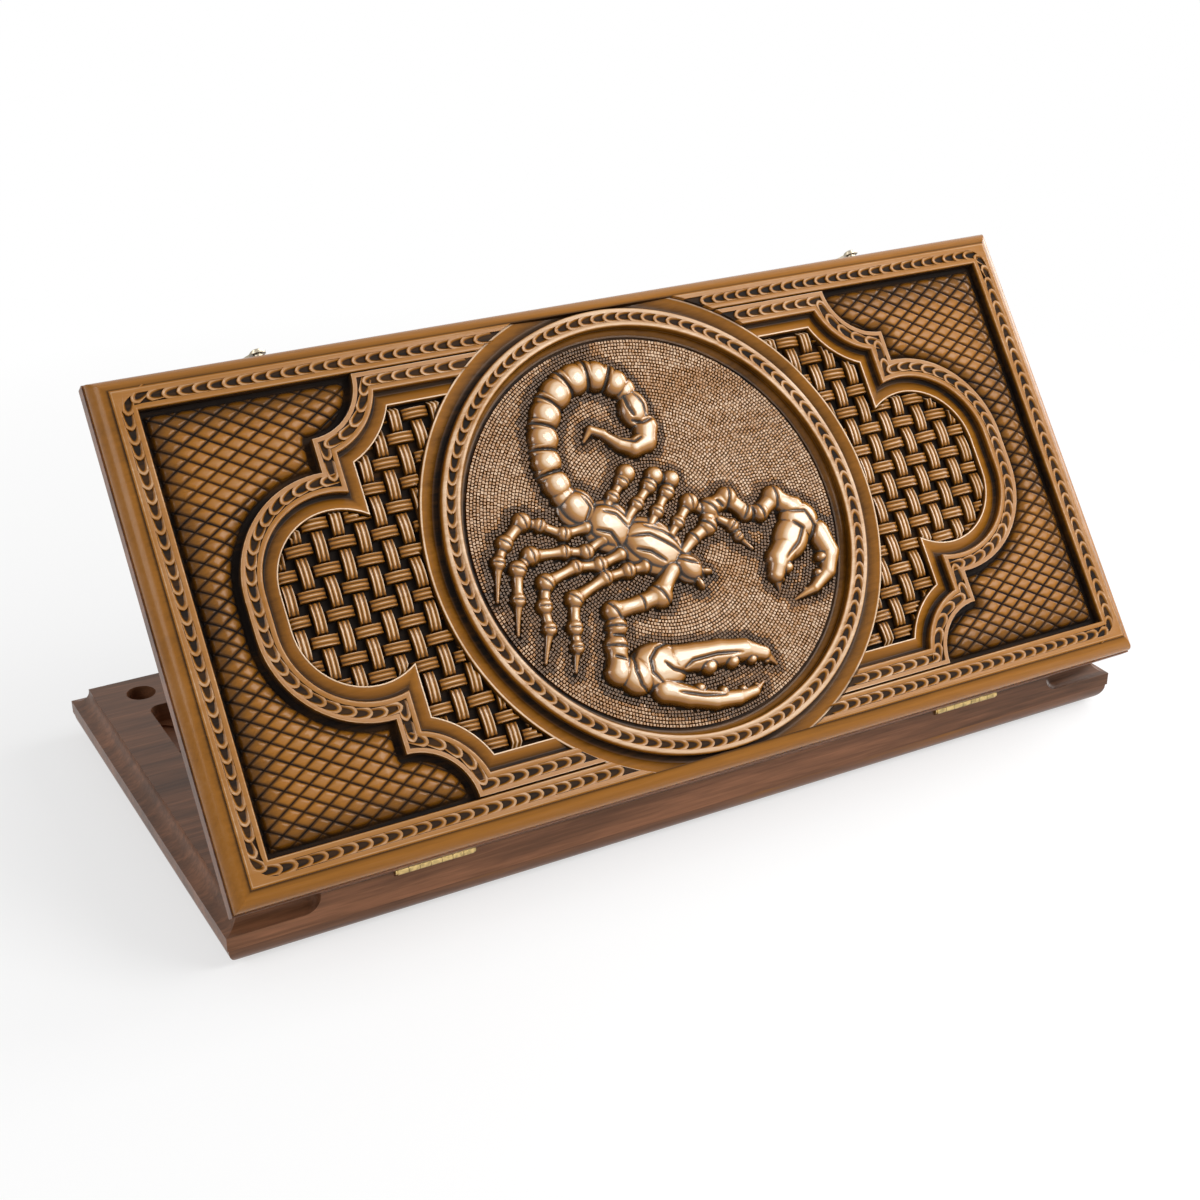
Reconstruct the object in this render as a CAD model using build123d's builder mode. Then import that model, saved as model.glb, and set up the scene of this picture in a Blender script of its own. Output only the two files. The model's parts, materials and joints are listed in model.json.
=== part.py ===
from build123d import *
import os
from math import atan2, ceil, cos, floor, radians, sin, sqrt

os.makedirs("parts", exist_ok=True)

# Two alike leaves hinged along their long side, shown half open
leaf_length = 600
leaf_width = 291
leaf_height = 32
rest_angle = 51.6
half_gap = 0.2
glue_fit = 0.1
spare = 1

# Frame of four rails that holds the game, measured down from its rim face
rail_height = 18.5
play_depth = 12
recess_corner = 7
end_rail = 35
hinge_rail = 25
free_rail = 50
die_pocket_radius = 9
die_pocket_depth = 10
die_pocket_from_end = 37
die_pocket_from_side = 30

# Cove round the ends and the free side, returned a little way along the hinge side
cove_radius = 9.5
cove_drop = 0.9
cove_return = 43.5

# Playing field, its half-round seats and its inlaid points
field_fit = 0.15
points_per_end = 6
seat_radius = 14.5
seat_depth = 1.2
point_length = 186
point_width = 29
point_from_seat = 3
inlay_depth = 0.8
inlay_fit = 0.05

# Moulding that frames each outer face
moulding_set = 0.8
moulding_fillet = 1.1
moulding_width = 9.9
moulding_step = 1.1
groove_width = 1.6
groove_depth = 1

# Carved face: depths are measured down from its flat bands
border_width = 13.1
band_width = 12
ledge_width = 9
ledge_depth = 4
corner_depth = 7
pillow_rise = 5
pillow_margin = 2.5
pillow_bevel = 4.5
weave_seat_depth = 11
shoulder_radius = 32.5
neck_set = 1
lobe_radius = 60
lobe_rise = 10.5
lobe_from_border = 25.5

# Basket weave in the two wings of the cartouche
basket_base = 4
weave_pitch_x = 12.54
weave_pitch_y = 12.75
strip_width_across = 6.4
strip_width_along = 6.8
strip_overlap = 1.9
strip_rise = 2.6
strip_margin = 2.5

# Medallion: a raised ring and its ground, let through the carved panel
ring_from_moulding = 0.8
ring_width = 11.5
ring_round = 0.8
moat_width = 11.2
moat_depth = 5
ground_depth = 9
ground_cove = 4
relief_rise = 8.4
figure_reach = 119.3
limb_waist = 0.74
limb_taper = 0.97

# Hinges: brass butts let into the rims at the hinge side
hinge_from_end = 119
hinge_length = 45.5
hinge_knuckles = 7
knuckle_gap = 0.3
barrel_radius = 2.4
barrel_clearance = 0.4
pin_radius = 1.2
pin_fit = 0.05
pin_head = 1.9
pin_tip = 1.2
plate_width = 17
plate_thickness = 1.2
plate_fit = 0.1
hinge_screws_per_plate = 3
hinge_screw_pitch = 15.5
hinge_screw_y = 10.5
hinge_screw_head = 2.6
hinge_screw_shank = 1.3
hinge_screw_length = 10
head_depth = 1
head_sink = 0.05
driver_slot_width = 0.8
driver_slot_depth = 0.5

# Swing hooks on the lid and catch studs on the base
hook_from_end = 100
hook_z = 14.4
hook_lean = 30
hook_standoff = 2.2
hook_thickness = 1.2
hook_play = 0.2
hook_eye = 4.7
hook_arm = 7
hook_end = 5.6
hook_pin_radius = 1.5
hook_pin_fit = 0.05
stud_play = 0.5
stud_gap = 0.4
collar_radius = 2.7
button_radius = 3.8
button_height = 1.9
button_rim = 0.7
fastener_bite = 12

# Derived places, in a leaf's own frame: centre of its rim face, +Y to the free side
half_length = leaf_length / 2
half_width = leaf_width / 2
recess_length = leaf_length - 2 * end_rail
recess_width = leaf_width - hinge_rail - free_rail
recess_y = (hinge_rail - free_rail) / 2
lip_depth = cove_drop + cove_radius
corner_x = half_length - moulding_width - border_width
corner_y = half_width - moulding_width - border_width
lobe_x = corner_x - lobe_from_border - lobe_radius
shoulder_x = lobe_x - neck_set
ring_radius = half_width - moulding_width - ring_from_moulding
ring_inner = ring_radius - ring_width
moat_radius = ring_radius + moat_width
ground = leaf_height - ground_depth
axis_y = -half_width - half_gap
axis_z = -half_gap
hinge_x = half_length - hinge_from_end
hook_x = half_length - hook_from_end
knuckle_pitch = hinge_length / hinge_knuckles
barrel_half = (hinge_length - knuckle_gap) / 2
notch_half = barrel_half + pin_tip + 2 * plate_fit
hook_reach = 2 * (hook_z + half_gap)
slot_half = hook_pin_radius + stud_play

# The two rim planes: +Z of each points out to its outer face
lean = radians(rest_angle)
lid_reach = half_width + half_gap
base_rim = Plane(origin=(0, 0, leaf_height), x_dir=(-1, 0, 0), z_dir=(0, 0, -1))
lid_rim = Plane(
    origin=(
        0,
        axis_y + lid_reach * cos(lean) - half_gap * sin(lean),
        leaf_height + half_gap + lid_reach * sin(lean) + half_gap * cos(lean),
    ),
    x_dir=(1, 0, 0),
    z_dir=(0, -sin(lean), cos(lean)),
)
leaves = (("base", base_rim), ("lid", lid_rim))
wings = (("left", -1), ("right", 1))


def at(rim, x, y, z):
    """A point of a leaf's frame in the board's frame."""
    return rim.from_local_coords(Vector(x, y, z))


def end_planes(rim):
    """Section planes of the two ends, +X inwards and +Y to the outer face."""
    return (
        Plane(at(rim, -half_length, half_width, 0), rim.x_dir, -rim.y_dir),
        Plane(at(rim, half_length, -half_width, 0), -rim.x_dir, rim.y_dir),
    )


def side_planes(rim):
    """Section planes of the free side and of the hinge side, +X inwards and +Y to the outer face."""
    return (
        Plane(at(rim, half_length, half_width, 0), -rim.y_dir, -rim.x_dir),
        Plane(at(rim, -half_length, -half_width, 0), rim.y_dir, rim.x_dir),
    )


def cartouche(inset, halves=(-1, 1)):
    """The cartouche drawn in by inset: a wide bar with a concave shoulder and a lobe at each end."""
    top = corner_y - inset
    shoulder = shoulder_radius + inset
    neck = shoulder_x - inset
    lobe = lobe_radius - inset
    start_x = shoulder_x - sqrt(shoulder**2 - inset**2)
    neck_top = corner_y - sqrt(shoulder**2 - inset**2)
    neck_foot = lobe_rise + sqrt(lobe**2 - (neck - lobe_x) ** 2)
    turn = atan2(neck_top - corner_y, neck - shoulder_x) + atan2(top - corner_y, start_x - shoulder_x)
    middle = turn / 2 if inset > 0 else radians(225)
    if cos(middle) > 0:
        middle += radians(180)
    bend_x = shoulder_x + shoulder * cos(middle)
    bend_y = corner_y + shoulder * sin(middle)
    round_end = (atan2(neck_foot - lobe_rise, neck - lobe_x)) / 2
    lobe_bend_x = lobe_x + lobe * cos(round_end)
    lobe_bend_y = lobe_rise + lobe * sin(round_end)
    with BuildSketch() as outline:
        for half in halves:
            with BuildLine():
                for side in (1, -1):
                    Line((0, side * top), (half * start_x, side * top))
                    ThreePointArc(
                        (half * start_x, side * top),
                        (half * bend_x, side * bend_y),
                        (half * neck, side * neck_top),
                    )
                    Line((half * neck, side * neck_top), (half * neck, side * neck_foot))
                    ThreePointArc(
                        (half * neck, side * neck_foot),
                        (half * lobe_bend_x, side * lobe_bend_y),
                        (half * (lobe_x + lobe), side * lobe_rise),
                    )
                Line((half * (lobe_x + lobe), lobe_rise), (half * (lobe_x + lobe), -lobe_rise))
                Line((0, -top), (0, top))
            make_face()
    return outline.sketch


# Section that the cove takes away: a drop below the rim, then a quarter round
with BuildSketch() as cove_section:
    with BuildLine():
        CenterArc((0, cove_drop), cove_radius, 0, 90)
        Polyline(
            (0, lip_depth),
            (-spare, lip_depth),
            (-spare, -spare),
            (cove_radius, -spare),
            (cove_radius, cove_drop),
        )
    make_face()

# Section that the moulding takes away: a fillet, an ovolo and a step up to the face
ovolo_start = (moulding_set, rail_height + moulding_fillet)
ovolo_end = (moulding_width, leaf_height - moulding_step)
with BuildSketch() as moulding_section:
    with BuildLine():
        TangentArc(ovolo_start, ovolo_end, tangent=(0, 1))
        Polyline(
            ovolo_end,
            (moulding_width, leaf_height + spare),
            (-spare, leaf_height + spare),
            (-spare, rail_height - spare),
            (moulding_set, rail_height - spare),
            ovolo_start,
        )
    make_face()

# Rails: a frame cut for the game, die pockets, coves, hinges and fasteners, then parted at its corners
barrel_room = barrel_radius + barrel_clearance
long_rails = (
    ("free", recess_y + recess_width / 2, half_width),
    ("hinge", -half_width, recess_y - recess_width / 2),
)
for name, rim in leaves:
    with BuildPart() as frame:
        with BuildSketch(rim):
            Rectangle(leaf_length, leaf_width)
            with Locations((0, recess_y)):
                RectangleRounded(recess_length, recess_width, recess_corner, mode=Mode.SUBTRACT)
        extrude(amount=rail_height)
        with BuildSketch(rim):
            with Locations((0, half_width - die_pocket_from_side)):
                with GridLocations(leaf_length - 2 * die_pocket_from_end, 1, 2, 1):
                    Circle(die_pocket_radius)
        extrude(amount=die_pocket_depth, mode=Mode.SUBTRACT)
        for plane in end_planes(rim):
            with BuildSketch(plane):
                add(cove_section)
            extrude(amount=leaf_width, mode=Mode.SUBTRACT)
        free_side, hinge_side = side_planes(rim)
        with BuildSketch(free_side):
            add(cove_section)
        extrude(amount=leaf_length, mode=Mode.SUBTRACT)
        with BuildSketch(hinge_side):
            add(cove_section)
        extrude(amount=cove_return, mode=Mode.SUBTRACT)
        with BuildSketch(hinge_side.offset(leaf_length)):
            add(cove_section)
        extrude(amount=-cove_return, mode=Mode.SUBTRACT)
        for end in (-1, 1):
            stop = at(rim, end * (half_length - cove_return), -half_width, cove_drop)
            with Locations(stop):
                Sphere(cove_radius, mode=Mode.SUBTRACT)
            with BuildSketch(Plane(stop, rim.x_dir, rim.z_dir)):
                Circle(cove_radius)
            extrude(amount=-cove_drop - spare, mode=Mode.SUBTRACT)
            notch = at(rim, end * hinge_x - notch_half, axis_y, axis_z)
            with BuildSketch(Plane(notch, rim.y_dir, rim.x_dir)):
                Circle(barrel_room)
            extrude(amount=2 * notch_half, mode=Mode.SUBTRACT)
            with BuildSketch(rim):
                with Locations((end * hinge_x, axis_y)):
                    Rectangle(
                        2 * (barrel_half + plate_fit),
                        plate_width + plate_fit,
                        align=(Align.CENTER, Align.MIN),
                    )
            extrude(amount=plate_thickness, mode=Mode.SUBTRACT)
            with BuildSketch(rim):
                with Locations((end * hinge_x, axis_y + hinge_screw_y)):
                    with GridLocations(hinge_screw_pitch, 1, hinge_screws_per_plate, 1):
                        Circle(hinge_screw_shank)
            extrude(amount=hinge_screw_length, mode=Mode.SUBTRACT)
            with BuildSketch(Plane(at(rim, end * hook_x, half_width, hook_z), rim.x_dir, rim.y_dir)):
                Circle(hook_pin_radius)
            extrude(amount=-fastener_bite, mode=Mode.SUBTRACT)

    for rail_name, low, high in long_rails:
        with BuildPart() as long_rail:
            add(frame.part)
            with BuildSketch(rim):
                with Locations((0, (low + high) / 2)):
                    Rectangle(leaf_length, high - low)
            extrude(amount=rail_height, mode=Mode.INTERSECT)
        long_rail.part.label = f"{name}_{rail_name}_rail"
        export_step(long_rail.part, f"parts/{name}_{rail_name}_rail.step")

    for side_name, side in wings:
        outer = side * rim.x_dir.X * half_length
        inner = side * rim.x_dir.X * (recess_length / 2 - recess_corner)
        with BuildPart() as end_rail_part:
            add(frame.part)
            with BuildSketch(rim):
                with Locations(((outer + inner) / 2, recess_y)):
                    Rectangle(abs(outer - inner), recess_width)
            extrude(amount=rail_height, mode=Mode.INTERSECT)
        end_rail_part.part.label = f"{name}_{side_name}_rail"
        export_step(end_rail_part.part, f"parts/{name}_{side_name}_rail.step")

# Playing fields: a board in each frame, with seats, and points inlaid in two woods
seat_line = recess_length / 2
point_root = seat_line - seat_radius - point_from_seat
point_tip = point_root - point_length
inlay_root = point_root - inlay_fit
inlay_tip = point_tip + 2 * inlay_fit * point_length / point_width
row_pitch = recess_width / points_per_end
rows = [recess_y + row_pitch * (i - (points_per_end - 1) / 2) for i in range(points_per_end)]
places = [(end, i) for end in (-1, 1) for i in range(points_per_end)]
light_places = [(end, rows[i]) for end, i in places if (i + (end > 0)) % 2]
dark_places = [(end, rows[i]) for end, i in places if (i + (end > 0)) % 2 == 0]

for name, rim in leaves:
    with BuildPart() as field:
        with BuildSketch(rim.offset(play_depth)):
            with Locations((0, recess_y)):
                RectangleRounded(
                    recess_length - 2 * field_fit,
                    recess_width - 2 * field_fit,
                    recess_corner - field_fit,
                )
        extrude(amount=rail_height - play_depth)
        with BuildSketch(rim.offset(play_depth)):
            with Locations([(end * seat_line, rows[i]) for end, i in places]):
                Circle(seat_radius)
        extrude(amount=seat_depth, mode=Mode.SUBTRACT)
        with BuildSketch(rim.offset(play_depth)):
            for end, y in light_places + dark_places:
                Polygon(
                    (end * point_root, y - point_width / 2),
                    (end * point_root, y + point_width / 2),
                    (end * point_tip, y),
                    align=None,
                )
        extrude(amount=inlay_depth, mode=Mode.SUBTRACT)
    field.part.label = f"{name}_playing_field"
    export_step(field.part, f"parts/{name}_playing_field.step")

    for tone, inlays in (("light", light_places), ("dark", dark_places)):
        with BuildPart() as points:
            with BuildSketch(rim.offset(play_depth)):
                for end, y in inlays:
                    Polygon(
                        (end * inlay_root, y - point_width / 2 + inlay_fit),
                        (end * inlay_root, y + point_width / 2 - inlay_fit),
                        (end * inlay_tip, y),
                        align=None,
                    )
            extrude(amount=inlay_depth)
        points.part.label = f"{name}_{tone}_points"
        export_step(points.part, f"parts/{name}_{tone}_points.step")

# Bottom panel: the plain outer board of the base, with the same moulding and a scored border
with BuildPart() as bottom_panel:
    with BuildSketch(base_rim.offset(rail_height)):
        Rectangle(leaf_length, leaf_width)
    extrude(amount=leaf_height - rail_height)
    for plane in end_planes(base_rim):
        with BuildSketch(plane):
            add(moulding_section)
        extrude(amount=leaf_width, mode=Mode.SUBTRACT)
    for plane in side_planes(base_rim):
        with BuildSketch(plane):
            add(moulding_section)
        extrude(amount=leaf_length, mode=Mode.SUBTRACT)
    with BuildSketch(base_rim.offset(leaf_height)):
        Rectangle(2 * corner_x, 2 * corner_y)
        Rectangle(2 * (corner_x - groove_width), 2 * (corner_y - groove_width), mode=Mode.SUBTRACT)
    extrude(amount=-groove_depth, mode=Mode.SUBTRACT)
bottom_panel.part.label = "base_bottom_panel"
export_step(bottom_panel.part, "parts/base_bottom_panel.step")

# Carved panel: moulding, border, pillowed corners, cartouche bands and the way for the medallion
with BuildPart() as carved_panel:
    with BuildSketch(lid_rim.offset(rail_height)):
        Rectangle(leaf_length, leaf_width)
    extrude(amount=leaf_height - rail_height)
    for plane in end_planes(lid_rim):
        with BuildSketch(plane):
            add(moulding_section)
        extrude(amount=leaf_width, mode=Mode.SUBTRACT)
    for plane in side_planes(lid_rim):
        with BuildSketch(plane):
            add(moulding_section)
        extrude(amount=leaf_length, mode=Mode.SUBTRACT)
    with BuildSketch(lid_rim.offset(leaf_height)):
        Rectangle(2 * corner_x, 2 * corner_y)
        add(cartouche(0), mode=Mode.SUBTRACT)
    extrude(amount=-corner_depth, mode=Mode.SUBTRACT)
    pillow_top = leaf_height - corner_depth + pillow_rise
    with BuildSketch(lid_rim.offset(leaf_height - corner_depth)):
        Rectangle(2 * (corner_x - pillow_margin), 2 * (corner_y - pillow_margin))
        add(cartouche(-pillow_margin), mode=Mode.SUBTRACT)
    extrude(amount=pillow_rise)
    heights = [(edge, lid_rim.to_local_coords(edge.center()).Z) for edge in carved_panel.edges()]
    chamfer([edge for edge, height in heights if abs(height - pillow_top) < 0.01], pillow_bevel)
    with BuildSketch(lid_rim.offset(leaf_height)):
        add(cartouche(band_width))
    extrude(amount=-ledge_depth, mode=Mode.SUBTRACT)
    with BuildSketch(lid_rim.offset(leaf_height)):
        add(cartouche(band_width + ledge_width))
        Circle(moat_radius, mode=Mode.SUBTRACT)
    extrude(amount=-weave_seat_depth, mode=Mode.SUBTRACT)
    with BuildSketch(lid_rim.offset(leaf_height)):
        Circle(moat_radius)
        Rectangle(2 * moat_radius, 2 * (half_width - moulding_width), mode=Mode.INTERSECT)
    extrude(amount=-moat_depth, mode=Mode.SUBTRACT)
    with BuildSketch(lid_rim.offset(leaf_height)):
        Circle(ring_radius + glue_fit)
    extrude(amount=-leaf_height, mode=Mode.SUBTRACT)
carved_panel.part.label = "lid_carved_panel"
export_step(carved_panel.part, "parts/lid_carved_panel.step")

# Basket panels: a thin board with the crossings of a plain weave standing on it
weave_floor = leaf_height - weave_seat_depth
inset = band_width + ledge_width
columns = range(floor(ring_inner / 2 / weave_pitch_x), ceil(corner_x / weave_pitch_x))
lines = range(-ceil(corner_y / weave_pitch_y), ceil(corner_y / weave_pitch_y))
for side_name, side in wings:
    crossings = [(i + j, (side * i * weave_pitch_x, (j + 0.5) * weave_pitch_y)) for i in columns for j in lines]
    across = [place for count, place in crossings if count % 2]
    along = [place for count, place in crossings if count % 2 == 0]
    with BuildPart() as basket:
        with BuildSketch(lid_rim.offset(weave_floor)):
            add(cartouche(inset + glue_fit, [side]))
            Circle(moat_radius + glue_fit, mode=Mode.SUBTRACT)
        extrude(amount=basket_base)
        with BuildSketch(lid_rim.offset(weave_floor + basket_base)):
            with Locations(across):
                Rectangle(weave_pitch_x + 2 * strip_overlap, strip_width_across)
            with Locations(along):
                Rectangle(strip_width_along, weave_pitch_y + 2 * strip_overlap)
            add(cartouche(inset + strip_margin, [side]), mode=Mode.INTERSECT)
            Circle(moat_radius + strip_margin, mode=Mode.SUBTRACT)
        extrude(amount=strip_rise)
    basket.part.label = f"lid_basket_{side_name}"
    export_step(basket.part, f"parts/lid_basket_{side_name}.step")

# Medallion: a turned ring with a cove at its foot, and the flat ground inside it
ground_radius = ring_inner - ground_cove
with BuildPart() as ring:
    with BuildSketch(Plane(lid_rim.origin, lid_rim.x_dir, -lid_rim.y_dir)):
        with BuildLine():
            Polyline(
                (ground_radius, ground),
                (ground_radius, rail_height),
                (ring_radius, rail_height),
                (ring_radius, leaf_height - ring_round),
            )
            CenterArc((ring_radius - ring_round, leaf_height - ring_round), ring_round, 0, 90)
            Line((ring_radius - ring_round, leaf_height), (ring_inner + ring_round, leaf_height))
            CenterArc((ring_inner + ring_round, leaf_height - ring_round), ring_round, 90, 90)
            Line((ring_inner, leaf_height - ring_round), (ring_inner, ground + ground_cove))
            CenterArc((ground_radius, ground + ground_cove), ground_cove, 270, 90)
        make_face()
    revolve(axis=Axis(lid_rim.origin, lid_rim.z_dir))
ring.part.label = "lid_medallion_ring"
export_step(ring.part, "parts/lid_medallion_ring.step")

with BuildPart() as disc:
    with BuildSketch(lid_rim.offset(rail_height)):
        Circle(ground_radius - glue_fit)
    extrude(amount=ground - rail_height)
disc.part.label = "lid_medallion_ground"
export_step(disc.part, "parts/lid_medallion_ground.step")

# Scorpion: joints as (x, y, radius) on the medallion's ground, head to the lower right
plates = [
    (-55, 33, 8),
    (-46, 21, 11.5),
    (-30, 8, 14.5),
    (-9, -8, 15),
    (4, -19, 11),
    (12, -29, 9),
    (91, -12, 12.5),
    (86, -20, 12),
    (-29, -80, 15),
    (-43, -84, 12),
]
tail = [
    (-53, 31, 8.6),
    (-57, 45, 8.6),
    (-56, 59, 9),
    (-52, 73, 9.2),
    (-44, 86, 9.2),
    (-31, 96, 9.4),
    (-16, 99, 9.4),
    (-3, 95, 8.8),
    (6, 86, 8.2),
]
sting = [
    (8, 73, 10),
    (11, 59, 8),
    (6, 52, 7),
    (-1, 50, 5.6),
    (-8, 54, 4.6),
    (-16, 63, 3.8),
    (-23, 66, 3),
    (-29, 60, 1.6),
]
legs = [
    [
        (-46, 10, 4), (-60, 9, 3.6), (-73, 17, 4), (-83, 21, 4.2),
        (-97, 11, 3.8), (-104, 1, 3.4), (-111, -20, 1.8),
    ],
    [
        (-38, 1, 4), (-50, -4, 3.8), (-63, -1, 3.6), (-84, 1, 4.2),
        (-94, -5, 4), (-99, -22, 3.4), (-105, -41, 1.8),
    ],
    [
        (-30, -10, 4), (-44, -13, 3.8), (-59, -11, 3.6), (-80, -16, 4.2),
        (-85, -29, 3.6), (-86, -42, 3.2), (-94, -60, 1.8),
    ],
    [
        (-18, -20, 4), (-28, -20, 3.8), (-43, -21, 3.6), (-66, -29, 4.2),
        (-71, -45, 3.6), (-73, -56, 3), (-78, -69, 1.8),
    ],
    [(-34, 14, 4), (-23, 24, 3.6), (-14, 32, 4), (-10, 36, 4.4)],
    [(-20, 8, 4), (-9, 17, 3.8), (2, 26, 4), (7, 31, 4.4)],
    [(-8, 0, 4), (2, 10, 3.8), (12, 20, 4), (17, 27, 4.2)],
    [(2, -9, 4), (13, 1, 3.8), (24, 11, 4.4), (36, 1, 3.6), (47, -8, 3.4), (49, -15, 2.8), (56, -24, 1.8)],
]
claws = [
    [
        (6, -20, 5), (20, -10, 5), (31, -5, 6.4), (36, 5, 7), (49, 9, 7),
        (58, -2, 6), (68, -4, 6), (80, 3, 7.4), (91, -8, 8),
    ],
    [(99, -24, 8.2), (103, -37, 7), (96, -48, 5), (84, -57, 3.6), (73, -60, 1.8)],
    [(80, -23, 8.2), (70, -32, 7), (65, -42, 5), (66, -52, 1.8)],
    [
        (-1, -26, 6), (-13, -38, 8.2), (-26, -40, 6), (-45, -41, 7),
        (-46, -50, 7), (-50, -61, 7.6), (-53, -75, 8.2),
    ],
    [(-20, -76, 8.2), (-6, -76, 8.2), (11, -77, 8), (28, -79, 6.6), (40, -85, 4.4), (47, -93, 1.8)],
    [(-31, -91, 8.2), (-18, -98, 7.6), (-1, -104, 7), (14, -106, 5.6), (26, -105, 4), (35, -101, 1.8)],
]
limbs = [tail, sting, [tail[-1], sting[0]]] + legs + claws
fit = ground_radius / figure_reach
parts = []
for x, y, radius in plates + [joint for route in limbs for joint in route]:
    spread = radius * fit
    if spread > relief_rise:
        swell = (spread**2 + relief_rise**2) / (2 * relief_rise)
        parts.append(Pos(x * fit, y * fit, relief_rise - swell) * Sphere(swell))
    else:
        parts.append(Pos(x * fit, y * fit, 0) * Sphere(spread))
for route in limbs:
    for (x, y, radius), (next_x, next_y, next_radius) in zip(route, route[1:]):
        reach = Vector(next_x - x, next_y - y, 0) * fit
        shaft = Cone(
            radius * fit * limb_waist,
            next_radius * fit * limb_waist * limb_taper,
            reach.length,
            align=(Align.CENTER, Align.CENTER, Align.MIN),
        )
        parts.append(Plane((x * fit, y * fit, 0), z_dir=reach).location * shaft)
figure = Part() + parts
relief = Cylinder(ring_inner, relief_rise, align=(Align.CENTER, Align.CENTER, Align.MIN))
with BuildPart(lid_rim.offset(ground)) as scorpion:
    add(figure & relief)
scorpion.part.label = "lid_scorpion"
export_step(scorpion.part, "parts/lid_scorpion.step")

# Hinges: on each leaf a plate with its own knuckles, and a headed pin held by the base's knuckles
for side_name, side in wings:
    for own, (name, rim) in enumerate(leaves):
        middle = side * rim.x_dir.X * hinge_x
        knuckles = [middle + knuckle_pitch * (i - (hinge_knuckles - 1) / 2) for i in range(hinge_knuckles)]
        with BuildPart() as plate:
            with BuildSketch(rim):
                with Locations((middle, axis_y)):
                    Rectangle(2 * barrel_half, plate_width, align=(Align.CENTER, Align.MIN))
            extrude(amount=plate_thickness)
            for i, x in enumerate(knuckles):
                if i % 2 != own:
                    with BuildSketch(Plane(at(rim, x, axis_y, axis_z), rim.y_dir, rim.x_dir)):
                        Circle(barrel_room)
                    extrude(amount=(knuckle_pitch + knuckle_gap) / 2, both=True, mode=Mode.SUBTRACT)
            for i, x in enumerate(knuckles):
                if i % 2 == own:
                    with BuildSketch(Plane(at(rim, x, axis_y, axis_z), rim.y_dir, rim.x_dir)):
                        Circle(barrel_radius)
                    extrude(amount=(knuckle_pitch - knuckle_gap) / 2, both=True)
            with BuildSketch(Plane(at(rim, middle, axis_y, axis_z), rim.y_dir, rim.x_dir)):
                Circle(pin_radius + pin_fit)
            extrude(amount=hinge_length, both=True, mode=Mode.SUBTRACT)
            with Locations(rim.offset(head_sink)):
                with Locations((middle, axis_y + hinge_screw_y)):
                    with GridLocations(hinge_screw_pitch, 1, hinge_screws_per_plate, 1):
                        Cone(
                            hinge_screw_head,
                            hinge_screw_shank,
                            head_depth,
                            align=(Align.CENTER, Align.CENTER, Align.MIN),
                            mode=Mode.SUBTRACT,
                        )
                        Cylinder(hinge_screw_head, 2 * head_sink, mode=Mode.SUBTRACT)
                        Cylinder(hinge_screw_shank, 4 * plate_thickness, mode=Mode.SUBTRACT)
        plate.part.label = f"hinge_{side_name}_{name}_plate"
        export_step(plate.part, f"parts/hinge_{side_name}_{name}_plate.step")

    with BuildPart() as pin:
        middle = at(base_rim, -side * hinge_x, axis_y, axis_z)
        with BuildSketch(Plane(middle, base_rim.y_dir, base_rim.x_dir)):
            Circle(pin_radius)
        extrude(amount=barrel_half + pin_tip, both=True)
        for end in (-1, 1):
            with BuildSketch(Plane(middle + base_rim.x_dir * end * barrel_half, base_rim.y_dir, base_rim.x_dir)):
                Circle(pin_head)
            extrude(amount=end * pin_tip)
    pin.part.label = f"hinge_{side_name}_pin"
    export_step(pin.part, f"parts/hinge_{side_name}_pin.step")

# Hinge screws: one group for each leaf
for name, rim in leaves:
    with BuildPart() as screws:
        for end in (-1, 1):
            with Locations(rim.offset(head_sink)):
                with Locations((end * hinge_x, axis_y + hinge_screw_y)):
                    with GridLocations(hinge_screw_pitch, 1, hinge_screws_per_plate, 1):
                        Cone(
                            hinge_screw_head,
                            hinge_screw_shank,
                            head_depth,
                            align=(Align.CENTER, Align.CENTER, Align.MIN),
                        )
                        Cylinder(
                            hinge_screw_shank,
                            hinge_screw_length - 2 * head_sink,
                            align=(Align.CENTER, Align.CENTER, Align.MIN),
                        )
                        Box(
                            2 * hinge_screw_head,
                            driver_slot_width,
                            2 * driver_slot_depth,
                            mode=Mode.SUBTRACT,
                        )
    screws.part.label = f"{name}_hinge_screws"
    export_step(screws.part, f"parts/{name}_hinge_screws.step")

# Domed pins in the free sides: the hooks' pivots on the lid, the catch studs on the base
stack_top = hook_standoff + hook_thickness
for label, rim, collar, head_start in (
    ("hook_pivot_screws", lid_rim, hook_standoff - hook_play, stack_top + hook_play),
    ("catch_studs", base_rim, 0, stack_top + stud_gap),
):
    with BuildPart() as pins:
        for end in (-1, 1):
            foot = Plane(at(rim, end * hook_x, half_width, hook_z), rim.x_dir, rim.y_dir)
            with BuildSketch(foot.offset(-fastener_bite)):
                Circle(hook_pin_radius)
            extrude(amount=fastener_bite + head_start + button_rim)
            if collar > 0:
                with BuildSketch(foot):
                    Circle(collar_radius)
                extrude(amount=collar)
            with BuildSketch(Plane(foot.offset(head_start).origin, foot.x_dir, -foot.y_dir)):
                with BuildLine():
                    Polyline((0, button_height), (0, 0), (button_radius, 0), (button_radius, button_rim))
                    TangentArc((0, button_height), (button_radius, button_rim), tangent=(1, 0))
                make_face()
            revolve(axis=Axis(foot.origin, foot.z_dir))
            with BuildSketch(foot.offset(head_start + button_height)):
                Rectangle(2 * button_radius, driver_slot_width)
            extrude(amount=-driver_slot_depth, mode=Mode.SUBTRACT)
    pins.part.label = label
    export_step(pins.part, f"parts/{label}.step")

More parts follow.
